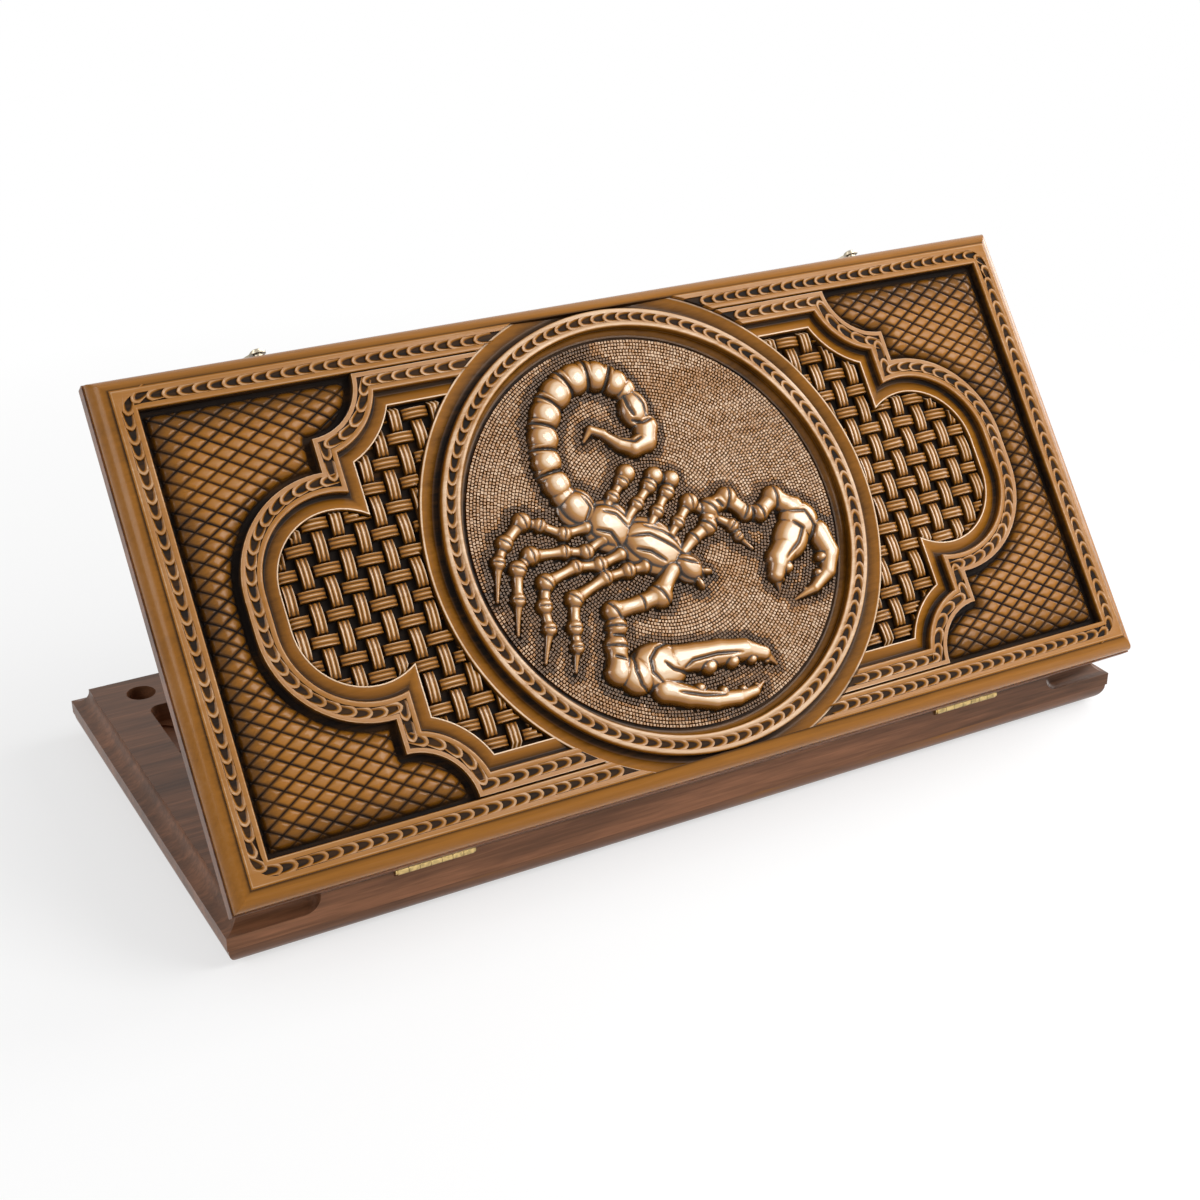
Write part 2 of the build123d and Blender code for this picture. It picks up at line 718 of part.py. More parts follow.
# Hooks: flat plates on the lid's pivots, leaning away from the studs with an open slot for each
for side_name, side in wings:
    swing = radians(hook_lean)
    pivot = at(lid_rim, side * hook_x, half_width, hook_z)
    arm = lid_rim.z_dir * -cos(swing) - lid_rim.x_dir * sin(swing)
    with BuildPart() as hook:
        with BuildSketch(Plane(pivot, arm, lid_rim.y_dir).offset(hook_standoff)):
            Circle(hook_eye)
            with Locations((hook_reach / 2, 0)):
                Rectangle(hook_reach, hook_arm)
            with Locations((hook_reach, 0)):
                Circle(hook_end)
            Circle(hook_pin_radius + hook_pin_fit, mode=Mode.SUBTRACT)
            with BuildSketch(mode=Mode.SUBTRACT):
                Circle(hook_reach + slot_half)
                Circle(hook_reach - slot_half, mode=Mode.SUBTRACT)
                with Locations((hook_reach, -hook_end)):
                    Rectangle(hook_reach, 2 * hook_end, mode=Mode.INTERSECT)
                with Locations((hook_reach, 0)):
                    Circle(slot_half)
        extrude(amount=hook_thickness)
    hook.part.label = f"hook_{side_name}"
    export_step(hook.part, f"parts/hook_{side_name}.step")
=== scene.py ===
"""Dresses the folding backgammon board: carved lid, basket weave, scorpion relief, woods, brass and stage."""

import json
import math

import bpy
import numpy as np
from bpy.props import FloatProperty, FloatVectorProperty, IntProperty, PointerProperty
from mathutils import Matrix, Vector


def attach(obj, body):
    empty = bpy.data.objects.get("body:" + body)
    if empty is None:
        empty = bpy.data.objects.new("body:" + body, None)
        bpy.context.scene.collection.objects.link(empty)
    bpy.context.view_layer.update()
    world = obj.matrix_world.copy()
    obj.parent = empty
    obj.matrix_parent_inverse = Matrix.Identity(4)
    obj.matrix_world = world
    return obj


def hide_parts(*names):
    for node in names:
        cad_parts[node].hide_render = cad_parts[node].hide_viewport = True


bl_info = {
    "name": "Carved backgammon board",
    "version": (1, 0, 0),
    "blender": (4, 5, 0),
    "location": "3D View > Sidebar > Board",
    "description": "Builds the carved lid, the woods, the brass and the stage of a folding backgammon board",
    "category": "Object",
}

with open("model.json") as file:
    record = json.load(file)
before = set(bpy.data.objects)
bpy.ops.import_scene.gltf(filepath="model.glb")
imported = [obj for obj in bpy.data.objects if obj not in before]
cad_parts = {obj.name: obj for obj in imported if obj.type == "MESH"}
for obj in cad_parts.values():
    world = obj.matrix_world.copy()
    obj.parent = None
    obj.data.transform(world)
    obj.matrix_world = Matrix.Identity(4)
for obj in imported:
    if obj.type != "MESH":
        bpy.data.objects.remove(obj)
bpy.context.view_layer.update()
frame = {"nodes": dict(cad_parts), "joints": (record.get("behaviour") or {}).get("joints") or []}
CAMERA_PLACE = (-0.5384, -0.97195, 0.62679)
FLOOR_LEVEL = -0.0004
LID_HINGE = next(j for j in frame["joints"] if j["name"] == "lid_hinge")

# The lid's own measures in millimetres, with +X along the hinge, +Y to the free side and +Z outwards
HALF_LENGTH = 300.0
HALF_WIDTH = 145.5
HALF_GAP = 0.2
BACK = 18.5
FACE = 32.0
MOULDING = 9.9
BORDER = 23.0
FIELD_X = HALF_LENGTH - BORDER
FIELD_Y = HALF_WIDTH - BORDER
SHOULDER_X = 190.5
SHOULDER_RADIUS = 32.5
LOBE_X = 191.5
LOBE_Y = 10.5
LOBE_RADIUS = 60.0
MOAT_RADIUS = 146.0
RING_RADIUS = 134.8
RING_INNER = 123.3
GROUND_RADIUS = 119.3
GROUND = 23.0
RELIEF_TOP = 8.4
CHAIN_FLOOR = 30.7
WEAVE_FLOOR = 21.6
WEAVE_CREST = 27.0
WEAVE_INSET = 15.0
WEAVE_START = 138.5
COVE_FOOT = 21.3
WALL_FOOT = FACE - 5.2
PILLOW_FLOOR = 25.0
PILLOW_RISE = 5.2
WING_GAP = 3.2
BORDER_GAP = 2.6
CORNER_ROUND = 9.5
BORDER_LINE = MOULDING + 6.5
WING_LINE = 6.0
CHAIN_END_GAP = 3.5
DOT_HALF = 0.455
DOT_TOP = 0.34

# Half widths of the lattice's cuts and of the knots where they cross, as shares of a diamond
CUT_HALF = 0.1
KNOT_HALF = 0.16

# Ridges along a woven strip, the angle past which a fold stays hard, and the colour of varnish highlights
STRIP_RIDGES = 3
SOFT_EDGE = math.radians(38)
VARNISH_TINT = (1.0, 0.92, 0.84, 1)


def lid_axes():
    """The matrix that takes the lid's millimetres to the board's metres, read from the lid's hinge."""
    lean = math.radians(-LID_HINGE["range_deg"][0])
    along = Vector((1, 0, 0))
    across = Vector((0, math.cos(lean), math.sin(lean)))
    out = Vector((0, -math.sin(lean), math.cos(lean)))
    middle = Vector(LID_HINGE["pos_m"]) + across * (HALF_WIDTH + HALF_GAP) / 1000 + out * HALF_GAP / 1000
    turn = Matrix((along, across, out)).transposed().to_4x4()
    return Matrix.Translation(middle) @ turn @ Matrix.Scale(0.001, 4)


class Relief:
    """Rows of points on the lid's axes, skinned into one mesh that carries a tone at each point."""

    def __init__(self):
        self.points = []
        self.tones = []
        self.faces = []
        self.count = 0

    def skin(self, rows, tones, closed=False, facing=(0, 0, 1), keep=None):
        """Adds quads between rows of equal length, turned so that together they face the given way."""
        grid = np.asarray(rows, float)
        lines, length = grid.shape[:2]
        ids = np.arange(lines * length).reshape(lines, length)
        if closed:
            ids = np.hstack([ids, ids[:, :1]])
        quads = np.stack([ids[:-1, :-1], ids[:-1, 1:], ids[1:, 1:], ids[1:, :-1]], axis=-1)
        if keep is not None:
            quads = quads[keep]
        quads = quads.reshape(-1, 4)
        flat = grid.reshape(-1, 3)
        turned = np.cross(flat[quads[:, 2]] - flat[quads[:, 0]], flat[quads[:, 3]] - flat[quads[:, 1]])
        if (turned @ np.asarray(facing, float)).sum() < 0:
            quads = quads[:, ::-1]
        tone = np.asarray(tones, float)
        if tone.ndim == 1:
            tone = np.repeat(tone[:, None], length, axis=1)
        self.points.append(flat)
        self.tones.append(tone.reshape(-1))
        self.faces.append(quads + self.count)
        self.count += len(flat)

    def mesh(self, name, place=None):
        """The finished mesh, merged where rows meet, and placed on the lid unless another place is given."""
        points = np.vstack(self.points)
        tones = np.concatenate(self.tones)
        faces = np.vstack(self.faces)
        used, first, back = np.unique(np.round(points, 4), axis=0, return_index=True, return_inverse=True)
        held, faces = np.unique(back.reshape(-1)[faces], return_inverse=True)
        faces = faces.reshape(-1, 4)
        made = bpy.data.meshes.new(name)
        loops = [[v for i, v in enumerate(f) if v != f[i - 1]] for f in faces.tolist()]
        loops = [f for f in loops if len(set(f)) > 2 and len(set(f)) == len(f)]
        made.from_pydata(used[held].tolist(), [], loops)
        made.attributes.new("tone", "FLOAT", "POINT").data.foreach_set("value", tones[first[held]])
        made.validate()
        made.transform(lid_axes() if place is None else place)
        made.polygons.foreach_set("use_smooth", [True] * len(made.polygons))
        made.set_sharp_from_angle(angle=SOFT_EDGE)
        made.update()
        return made


def arc(centre, radius, start, end, count):
    """Points of an arc, with its angles in degrees."""
    turn = np.radians(np.linspace(start, end, count))
    return np.stack([centre[0] + radius * np.cos(turn), centre[1] + radius * np.sin(turn)], axis=-1)


def with_mirror(upper):
    """An outline's upper half followed by its mirror image below."""
    return np.vstack([upper, upper[::-1] * (1, -1)])


def edge_route(inset, radius=0.3, start=0.0):
    """Right half of a rectangle drawn in from the leaf's outline, from top to bottom."""
    x, y = HALF_LENGTH - inset, HALF_WIDTH - inset
    corner = arc((x - radius, y - radius), radius, 90, 0, 9)
    return with_mirror(np.vstack([(start, y), corner]))


def wing_route(inset, start=0.0):
    """Right half of the cartouche's outline drawn in by inset, from top to bottom."""
    shoulder = SHOULDER_RADIUS + inset
    bite = math.degrees(math.asin(inset / shoulder))
    neck = SHOULDER_X - inset
    lobe = LOBE_RADIUS - inset
    swing = math.degrees(math.acos((neck - LOBE_X) / lobe))
    concave = arc((SHOULDER_X, FIELD_Y), shoulder, 180 + bite, 270 - bite, 15)
    convex = arc((LOBE_X, LOBE_Y), lobe, swing, 0, 22)
    return with_mirror(np.vstack([(start, FIELD_Y - inset), concave, convex]))


def moat_start(y):
    """Where a straight edge at this height meets the moat's rim."""
    return math.sqrt(max(MOAT_RADIUS**2 - y**2, 0))


def at_height(route, z):
    """A flat route lifted to one height."""
    return np.column_stack([route, np.full(len(route), float(z))])


def circle(radius, z, count):
    """A circle about the medallion's middle, without its first point again at the end."""
    return at_height(arc((0, 0), radius, 0, 360 - 360 / count, count), z)


def runs_between_corners(route, gap):
    """A route cut at its sharp corners, with a gap left out at the start of each run."""
    steps = np.diff(route[:, :2], axis=0)
    heading = np.degrees(np.arctan2(steps[:, 1], steps[:, 0]))
    swerve = np.abs((np.diff(heading) + 180) % 360 - 180)
    ends = [0, *(np.flatnonzero(swerve > 30) + 1), len(route) - 1]
    runs = []
    for first, last in zip(ends, ends[1:]):
        run = route[first:last + 1]
        reach = np.concatenate([[0], np.cumsum(np.hypot(*np.diff(run[:, :2], axis=0).T))])
        begin = [np.interp(gap, reach, axis) for axis in run.T]
        runs.append((np.vstack([begin, run[reach > gap]]), False))
    return runs


def both_ways(relief, rows, tones, **options):
    """Skins rows of the right half and their mirror image on the left."""
    rows = np.asarray(rows, float)
    relief.skin(rows, tones, **options)
    relief.skin(rows * (-1, 1, 1), tones, **options)


def new_piece(mesh, replaces, material="patinated_carving", body="lid"):
    """Puts a finished mesh in the scene on its body, in place of its CAD nodes."""
    piece = bpy.data.objects.new(mesh.name, mesh)
    bpy.context.scene.collection.objects.link(piece)
    mesh.materials.clear()
    mesh.materials.append(named_material(material))
    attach(piece, body)
    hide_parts(*replaces)


class NodeTree:
    """A node tree in the making, of Geometry Nodes, a material or the world."""

    def __init__(self, tree):
        self.tree = tree

    def feed(self, node, **inputs):
        """Puts values or other nodes' sockets on a node's inputs, by name or as _ and a number."""
        for label, value in inputs.items():
            socket = node.inputs[int(label[1:])] if label[0] == "_" else node.inputs[label.replace("_", " ")]
            if isinstance(value, bpy.types.NodeSocket):
                self.tree.links.new(value, socket)
            else:
                socket.default_value = value
        return node

    def add(self, kind, settings=None, **inputs):
        """A node with its settings and its inputs."""
        node = self.tree.nodes.new(kind)
        for key, value in (settings or {}).items():
            setattr(node, key, value)
        return self.feed(node, **inputs)

    def math(self, operation, first, second):
        """The result of one math node on two sockets or numbers."""
        return self.add("ShaderNodeMath", {"operation": operation}, _0=first, _1=second).outputs[0]

    def white_when_seen(self, output, plain, white, share=1.0):
        """Mixes a shader with plain white for camera, glossy and transmission rays."""
        rays = self.add("ShaderNodeLightPath").outputs
        seen = self.math("MAXIMUM", rays["Is Camera Ray"], rays["Is Glossy Ray"])
        seen = self.math("MAXIMUM", seen, rays["Is Transmission Ray"])
        mix = self.add("ShaderNodeMixShader", Fac=self.math("MULTIPLY", seen, share), _1=plain.outputs[0],
                       _2=white.outputs[0])
        self.feed(self.tree.nodes[output], Surface=mix.outputs[0])


SOCKETS = {float: "Float", int: "Int", bpy.types.Object: "Object", bpy.types.Material: "Material"}


class Pattern(NodeTree):
    """A Geometry Nodes tree that repeats a shape, with a named input for each of its values."""

    def __init__(self, name, **values):
        super().__init__(bpy.data.node_groups.new(name, "GeometryNodeTree"))
        self.values = {label.replace("_", " "): value for label, value in values.items()}
        self.values["Seed"] = bpy.context.scene.board_carving.seed
        self.values["Wood"] = named_material("patinated_carving")
        face = self.tree.interface
        face.new_socket("Geometry", in_out="INPUT", socket_type="NodeSocketGeometry")
        for label, value in self.values.items():
            face.new_socket(label, in_out="INPUT", socket_type=f"NodeSocket{SOCKETS[type(value)]}")
        face.new_socket("Geometry", in_out="OUTPUT", socket_type="NodeSocketGeometry")
        self.source = self.add("NodeGroupInput").outputs

    def stored(self, label):
        """A number stored on the points under a name."""
        return self.add("GeometryNodeInputNamedAttribute", {"data_type": "FLOAT"}, Name=label).outputs[0]

    def random(self, low, high):
        """A random number between two bounds for each point."""
        return self.add("FunctionNodeRandomValue", {"data_type": "FLOAT"}, _2=low, _3=high,
                        Seed=self.source["Seed"]).outputs[1]

    def uneven(self):
        """A random factor for each point, up to the unevenness above or below one."""
        return self.random(*(self.math(way, 1.0, self.source["Unevenness"]) for way in ("SUBTRACT", "ADD")))

    def copies(self, points, label, **inputs):
        """Copies on points of the shape in a named input."""
        shape = self.add("GeometryNodeObjectInfo", Object=self.source[label])
        return self.add("GeometryNodeInstanceOnPoints", Points=points, Instance=shape.outputs["Geometry"],
                        **inputs).outputs[0]

    def grow(self, guide, copies, name, shaded=False, trim=None):
        """Ends the tree, runs it on a guide object and returns the result as a plain mesh on the lid.

        A shaded pattern has its tone multiplied by its points' shade, and trim moves points of the mesh.
        """
        real = self.add("GeometryNodeRealizeInstances", Geometry=copies).outputs[0]
        if shaded:
            real = self.add("GeometryNodeStoreNamedAttribute", {"data_type": "FLOAT", "domain": "POINT"},
                            Geometry=real, Name="tone",
                            Value=self.math("MULTIPLY", self.stored("tone"), self.stored("shade"))).outputs[0]
        dressed = self.add("GeometryNodeSetMaterial", Geometry=real, Material=self.source["Wood"])
        self.add("NodeGroupOutput", _0=dressed.outputs[0])
        bpy.context.scene.collection.objects.link(guide)
        modifier = guide.modifiers.new(self.tree.name, "NODES")
        modifier.node_group = self.tree
        for socket in self.tree.interface.items_tree:
            if socket.in_out == "INPUT" and socket.name in self.values:
                modifier[socket.identifier] = self.values[socket.name]
        bpy.context.view_layer.update()
        graph = bpy.context.evaluated_depsgraph_get()
        mesh = bpy.data.meshes.new_from_object(guide.evaluated_get(graph), preserve_all_data_layers=True,
                                               depsgraph=graph)
        mesh.name = name
        if trim is not None:
            places = np.empty(len(mesh.vertices) * 3)
            mesh.vertices.foreach_get("co", places)
            mesh.vertices.foreach_set("co", trim(places.reshape(-1, 3)).ravel())
        mesh.transform(lid_axes())
        guide.modifiers.remove(modifier)
        bpy.data.objects.remove(guide)
        return mesh


def pattern_object(name, relief):
    """A small shape that a tree repeats, kept out of the scene."""
    return bpy.data.objects.new(name, relief.mesh(name, Matrix.Identity(4)))


def route_object(name, routes):
    """A curve object with one straight-edged spline for each route."""
    curve = bpy.data.curves.new(name, "CURVE")
    curve.dimensions = "3D"
    for points, closed in routes:
        spline = curve.splines.new("POLY")
        spline.points.add(len(points) - 1)
        flat = np.column_stack([points, np.ones(len(points))]).ravel()
        spline.points.foreach_set("co", flat)
        spline.use_cyclic_u = closed
    return bpy.data.objects.new(name, curve)


def point_object(name, points, **values):
    """A cloud of points with a value of each kind at every point."""
    mesh = bpy.data.meshes.new(name)
    mesh.from_pydata(np.asarray(points, float).tolist(), [], [])
    for label, column in values.items():
        mesh.attributes.new(label, "FLOAT", "POINT").data.foreach_set("value", np.asarray(column, float))
    return bpy.data.objects.new(name, mesh)


# Woods and metals


class Finish(NodeTree):
    """A material in the making, with its shader node."""

    def __init__(self, name):
        self.material = bpy.data.materials.new(name)
        self.material.use_nodes = True
        super().__init__(self.material.node_tree)
        self.surface = self.tree.nodes["Principled BSDF"]

    def ramp(self, factor, stops):
        """A colour ramp on a factor, from pairs of place and colour."""
        node = self.add("ShaderNodeValToRGB", Fac=factor)
        bar = node.color_ramp.elements
        while len(bar) < len(stops):
            bar.new(0.5)
        for element, (place, colour) in zip(bar, stops):
            element.position = place
            element.color = (*colour, 1)
        return node.outputs["Color"]

    def grain(self, stretch, scale, detail, seed):
        """Streaks of grain along X, as a number about one half."""
        place = self.add("ShaderNodeMapping", Vector=self.add("ShaderNodeTexCoord").outputs["Object"],
                         Location=(seed * 0.37, seed * 0.71, seed * 0.13), Scale=(1 / stretch, 1, 1))
        return self.add("ShaderNodeTexNoise", Vector=place.outputs["Vector"], Scale=scale, Detail=detail,
                        Roughness=0.62, Distortion=0.35).outputs["Fac"]


def dim(colour, factor):
    """A colour made darker, or lighter where the factor is over one."""
    return tuple(channel * factor for channel in colour)


def even(*colours):
    """Evenly spaced stops of a ramp, from its darkest colour to its palest."""
    return list(zip(np.linspace(0.15, 0.85, len(colours)), colours))


def wood(name, stops, roughness, gloss, grain, seed, carved=False):
    """Stained wood: a colour ramp on its grain and, on a carved piece, on the tone of its relief."""
    finish = Finish(name)
    broad = finish.grain(9.0, 42.0, 5.0, seed)
    fine = finish.grain(22.0, 420.0, 3.0, seed + 3)
    streak = finish.math("ADD", finish.math("MULTIPLY", broad, 0.65), finish.math("MULTIPLY", fine, 0.35))
    tone = 0.5
    if carved:
        tone = finish.add("ShaderNodeAttribute", {"attribute_name": "tone"}).outputs["Fac"]
        roughness = finish.add("ShaderNodeMapRange", Value=tone, From_Max=0.2, To_Min=0.8,
                               To_Max=roughness).outputs["Result"]
    level = finish.math("ADD", finish.math("MULTIPLY", finish.math("SUBTRACT", streak, 0.5), grain), tone)
    bump = finish.add("ShaderNodeBump", Strength=0.12, Distance=0.0004, Height=fine)
    finish.feed(finish.surface, Base_Color=finish.ramp(level, stops), Roughness=roughness,
                Specular_IOR_Level=gloss, Specular_Tint=VARNISH_TINT, Normal=bump.outputs["Normal"])
    return finish.material


def metal(name, colour, roughness, tarnish):
    """Brass or steel with a faint, uneven tarnish."""
    finish = Finish(name)
    patches = finish.grain(1.0, 320.0, 4.0, 2.0)
    stain = finish.ramp(patches, [(0.35, dim(colour, 1 - tarnish)), (0.6, colour)])
    finish.feed(finish.surface, Base_Color=stain, Metallic=1.0, Roughness=roughness)
    return finish.material


class BoardColours(bpy.types.PropertyGroup):
    """Colours of the stained and varnished woods and of the metal."""

    # Darkest colour: patina in the cuts, and painted shade where the carving's tone is lowered for it
    patina_and_shade: FloatVectorProperty(name="Patina", description="Dark stain left in the cuts", subtype="COLOR",
                                size=3, min=0, max=1, default=(0.006, 0.003, 0.002))
    amber: FloatVectorProperty(name="Amber", description="Varnished wood of the carving", subtype="COLOR",
                               size=3, min=0, max=1, default=(0.3, 0.115, 0.013))
    # Lighter wood of the bands and the ring: rubbed wear together with a painted sheen
    rubbed_and_sheen: FloatVectorProperty(name="Rubbed", description="Wood rubbed light on the bands", subtype="COLOR",
                                size=3, min=0, max=1, default=(0.36, 0.17, 0.055))
    # Palest colour: the maple points' own colour, and on the carving and the figure a painted highlight and
    # sheen on ridges and tops
    cream: FloatVectorProperty(name="Cream", description="Palest wood, on the ridges", subtype="COLOR",
                               size=3, min=0, max=1, default=(0.76, 0.56, 0.38))
    gold: FloatVectorProperty(name="Gold", description="Golden varnish of the figure", subtype="COLOR",
                              size=3, min=0, max=1, default=(0.43, 0.2, 0.045))
    walnut: FloatVectorProperty(name="Walnut", description="Stained wood of the rails", subtype="COLOR",
                                size=3, min=0, max=1, default=(0.15, 0.064, 0.031))
    brass: FloatVectorProperty(name="Brass", description="Hinges and their screws", subtype="COLOR",
                               size=3, min=0, max=1, default=(0.72, 0.52, 0.22))
    steel: FloatVectorProperty(name="Plated steel", description="Swing hooks and their pins", subtype="COLOR",
                               size=3, min=0, max=1, default=(0.46, 0.4, 0.3))


class CarvingSizes(bpy.types.PropertyGroup):
    """Sizes of the repeated carving on the lid."""

    chain_pitch: FloatProperty(name="Chain pitch", description="From one chevron to the next, in mm",
                               default=8.3, min=5, max=20)
    chain_reach: FloatProperty(name="Chain reach", description="Half the width of a chevron, in mm",
                               default=2.95, min=1, max=4)
    lattice_width: FloatProperty(name="Lattice width", description="Width of a diamond on the pillows, in mm",
                                 default=14.0, min=6, max=30)
    lattice_height: FloatProperty(name="Lattice height", description="Height of a lattice diamond, in mm",
                                  default=8.7, min=4, max=30)
    lattice_cut: FloatProperty(name="Lattice cut", description="Depth of the cuts between diamonds, in mm",
                               default=0.9, min=0.2, max=3)
    weave_across: FloatProperty(name="Weave across", description="Spacing of the upright strips, in mm",
                                default=12.54, min=8, max=25)
    weave_up: FloatProperty(name="Weave up", description="Spacing of the level strips, in mm",
                            default=12.75, min=8, max=25)
    stipple_pitch: FloatProperty(name="Stipple pitch", description="Spacing of the dots on the ground, in mm",
                                 default=2.05, min=1, max=6)
    relief_step: FloatProperty(name="Relief step", description="Spacing of the figure's points, in mm",
                               default=0.5, min=0.3, max=3)
    seed: IntProperty(name="Seed", description="Picks the small unevenness of the hand carving", default=7)


class StageSettings(bpy.types.PropertyGroup):
    """Camera and studio light."""

    azimuth: FloatProperty(name="Azimuth", description="Turn of the camera about the board",
                           default=math.radians(-29.09), subtype="ANGLE")
    elevation: FloatProperty(name="Elevation", description="Height of the camera above the horizon",
                             default=math.radians(26.05), subtype="ANGLE")
    lens: FloatProperty(name="Lens", description="Focal length in mm", default=59.04, min=20, max=200)
    key: FloatProperty(name="Key light", description="Power of the large softbox, in watts",
                       default=20.0, min=0)
    fill: FloatProperty(name="Fill light", description="Power of the left softbox; the right one has more",
                        default=9.5, min=0)
    sky: FloatProperty(name="Sky", description="Strength of the even studio light", default=0.38, min=0)


def named_material(name):
    """The material of that name, made on first use from the board's colours."""
    if name in bpy.data.materials:
        return bpy.data.materials[name]
    tint = bpy.context.scene.board_colours
    walnut, amber, cream = tint.walnut, tint.amber, tint.cream
    metals = {"old_brass": (tint.brass, 0.3, 0.45), "plated_steel": (tint.steel, 0.34, 0.4)}
    if name in metals:
        return metal(name, *metals[name])
    dark = (0.0, tint.patina_and_shade)
    # Top stop of the carved ramps: cream as a painted highlight and sheen on the ridges and tops
    pale = (1.0, cream)
    carved_stops = [dark, (0.22, dim(amber, 0.32)), (0.5, amber), (0.74, tint.rubbed_and_sheen), pale]
    relief_stops = [dark, (0.3, dim(amber, 0.2)), (0.56, amber), (0.8, tint.gold), pale]
    # Each wood's ramp, roughness, gloss, strength and seed of its grain, and whether it is carved
    woods = {
        # The carving's tone runs from patina in the cuts to painted highlights, and lowered tones paint shade
        "patinated_carving": (carved_stops, 0.2, 0.2, 0.6, 1.0, True),
        "gilded_relief": (relief_stops, 0.15, 0.8, 0.3, 5.0, True),
        "walnut_rail": (even(dim(walnut, 0.45), walnut, dim(walnut, 1.9)), 0.34, 0.24, 2.3, 2.0),
        "amber_panel": (even(dim(walnut, 0.5), dim(walnut, 1.1), dim(amber, 0.8)), 0.3, 0.3, 2.0, 4.0),
        "mahogany_field": (even((0.07, 0.026, 0.012), (0.15, 0.058, 0.026), (0.24, 0.1, 0.045)),
                           0.45, 0.25, 1.4, 6.0),
        "maple_points": (even(dim(cream, 0.7), cream), 0.45, 0.25, 1.4, 8.0),
        "wenge_points": (even((0.012, 0.006, 0.004), (0.045, 0.022, 0.013)), 0.45, 0.25, 0.5, 9.0),
    }
    return wood(name, *woods[name])


# Profiles of the carving as (inset, height, tone), and the pieces that they are swept into


def moulding_profile():
    """The lid's outer moulding: a fillet and an ovolo, up to the step at the border."""
    foot, top = (0.8, BACK + 1.1), (MOULDING, FACE - 1.1)
    across, up = top[0] - foot[0], top[1] - foot[1]
    radius = (across**2 + up**2) / (2 * across)
    last = math.degrees(math.atan2(up, across - radius))
    round_part = arc((foot[0] + radius, foot[1]), radius, 180, last, 12)
    # Along the ovolo the tone is a painted highlight over its middle and falls to painted shade where it
    # meets the step
    tones = np.interp(np.arange(12), [0, 2, 8, 10, 11], [0.42, 0.5, 0.52, 0.4, 0.12])
    return [(0.8, BACK, 0.2), (0.8, BACK + 0.5, 0.45)] + [(d, z, t) for (d, z), t in zip(round_part, tones)]


# Band rows: the pale tone on both edges is a painted highlight
BAND = [
    (0.0, -3.0, 0.03), (0.05, -0.5, 0.3), (0.5, 0.0, 0.82), (1.2, 0.0, 0.64), (2.4, 0.0, 0.6),
    (2.9, -0.1, 0.66), (3.1, -1.3, 0.03), (8.9, -1.3, 0.03), (9.1, -0.1, 0.66), (9.6, 0.0, 0.6),
    (10.9, 0.0, 0.64), (11.5, 0.0, 0.82), (12.0, -0.5, 0.5),
]
# Cove rows: the dark tone in the crease against the band is painted shade, and the pale tone on the lip is a
# painted highlight
COVE = [
    (12.1, -2.5, 0.2), (12.3, -5.2, 0.03), (13.8, -5.7, 0.03), (14.8, -5.5, 0.22), (16.4, -4.9, 0.4),
    (18.6, -4.1, 0.48), (20.2, -3.5, 0.6), (20.45, -3.3, 0.98), (21.0, -3.3, 0.98), (21.25, -4.2, 0.3),
    (21.35, -7.0, 0.03), (21.35, -10.6, 0.01),
]


def swept(relief, profile, route_of, walled=True):
    """Skins a profile along both halves of a family of routes, with a wall under every end at the moat."""
    rows = [at_height(route_of(inset), height) for inset, height, _ in profile]
    both_ways(relief, rows, [tone for _, _, tone in profile])
    if not walled:
        return
    for last in (0, -1):
        ends = np.asarray([row[last] for row in rows])
        under = ends.copy()
        under[:, 2] = np.minimum(under[:, 2], WALL_FOOT)
        for side in (1, -1):
            flip = (side, 1, 1)
            relief.skin([ends * flip, under * flip], [0.3, 0.06], facing=(-side * ends[0, 0], -ends[0, 1], 0))


class BOARD_OT_border(bpy.types.Operator):
    """Make the lid's moulding, its border band and the bands and coves of the cartouche"""

    bl_idname = "board.border"
    bl_label = "Moulding and bands"

    def execute(self, context):
        relief = Relief()
        swept(relief, moulding_profile(), edge_route, walled=False)
        border = [(MOULDING, FACE - 1.1, 0.1), (MOULDING, FACE - 0.4, 0.3)]
        border += [(MOULDING + 0.5 + d, FACE + z, t) for d, z, t in BAND[2:]]
        border += [(BORDER - 0.45, FACE - 3.0, 0.05), (BORDER - 0.45, PILLOW_FLOOR - 1.0, 0.02)]

        def border_route(inset):
            in_groove = abs(inset - BORDER_LINE) < 3.5
            rounded = CORNER_ROUND - (inset - BORDER_LINE) if in_groove else 0.3
            return edge_route(inset, rounded, moat_start(HALF_WIDTH - inset))

        swept(relief, border, border_route)
        wing = [(0.35, PILLOW_FLOOR - 1.0, 0.02)]
        wing += [(max(d, 0.35), FACE + z, t) for d, z, t in BAND + COVE]
        swept(relief, wing, lambda d: wing_route(d, moat_start(FIELD_Y - d)))
        y = HALF_WIDTH - MOULDING
        reach = moat_start(y)
        for side in (1, -1):
            top = np.array([(-reach, side * y, FACE - 1.1), (reach, side * y, FACE - 1.1)])
            relief.skin([top, top - (0, 0, 5)], [0.15, 0.05], facing=(0, -side, 0))
        new_piece(relief.mesh("lid_bands"), ["lid_carved_panel"])
        return {"FINISHED"}


def distance_to(route, x, y):
    """Distance from each point of a grid to a route given by close points."""
    best = np.full(x.shape, np.inf)
    for px, py in route:
        best = np.minimum(best, (x - px) ** 2 + (y - py) ** 2)
    return np.sqrt(best)


def inside_wing(x, y, inset):
    """Which points lie inside the cartouche drawn in by inset; x and y are taken as positive."""
    in_bar = (x < SHOULDER_X - inset) & (y < FIELD_Y - inset)
    in_bar &= np.hypot(x - SHOULDER_X, y - FIELD_Y) > SHOULDER_RADIUS + inset
    return in_bar | (np.hypot(x - LOBE_X, np.maximum(y - LOBE_Y, 0)) < LOBE_RADIUS - inset)


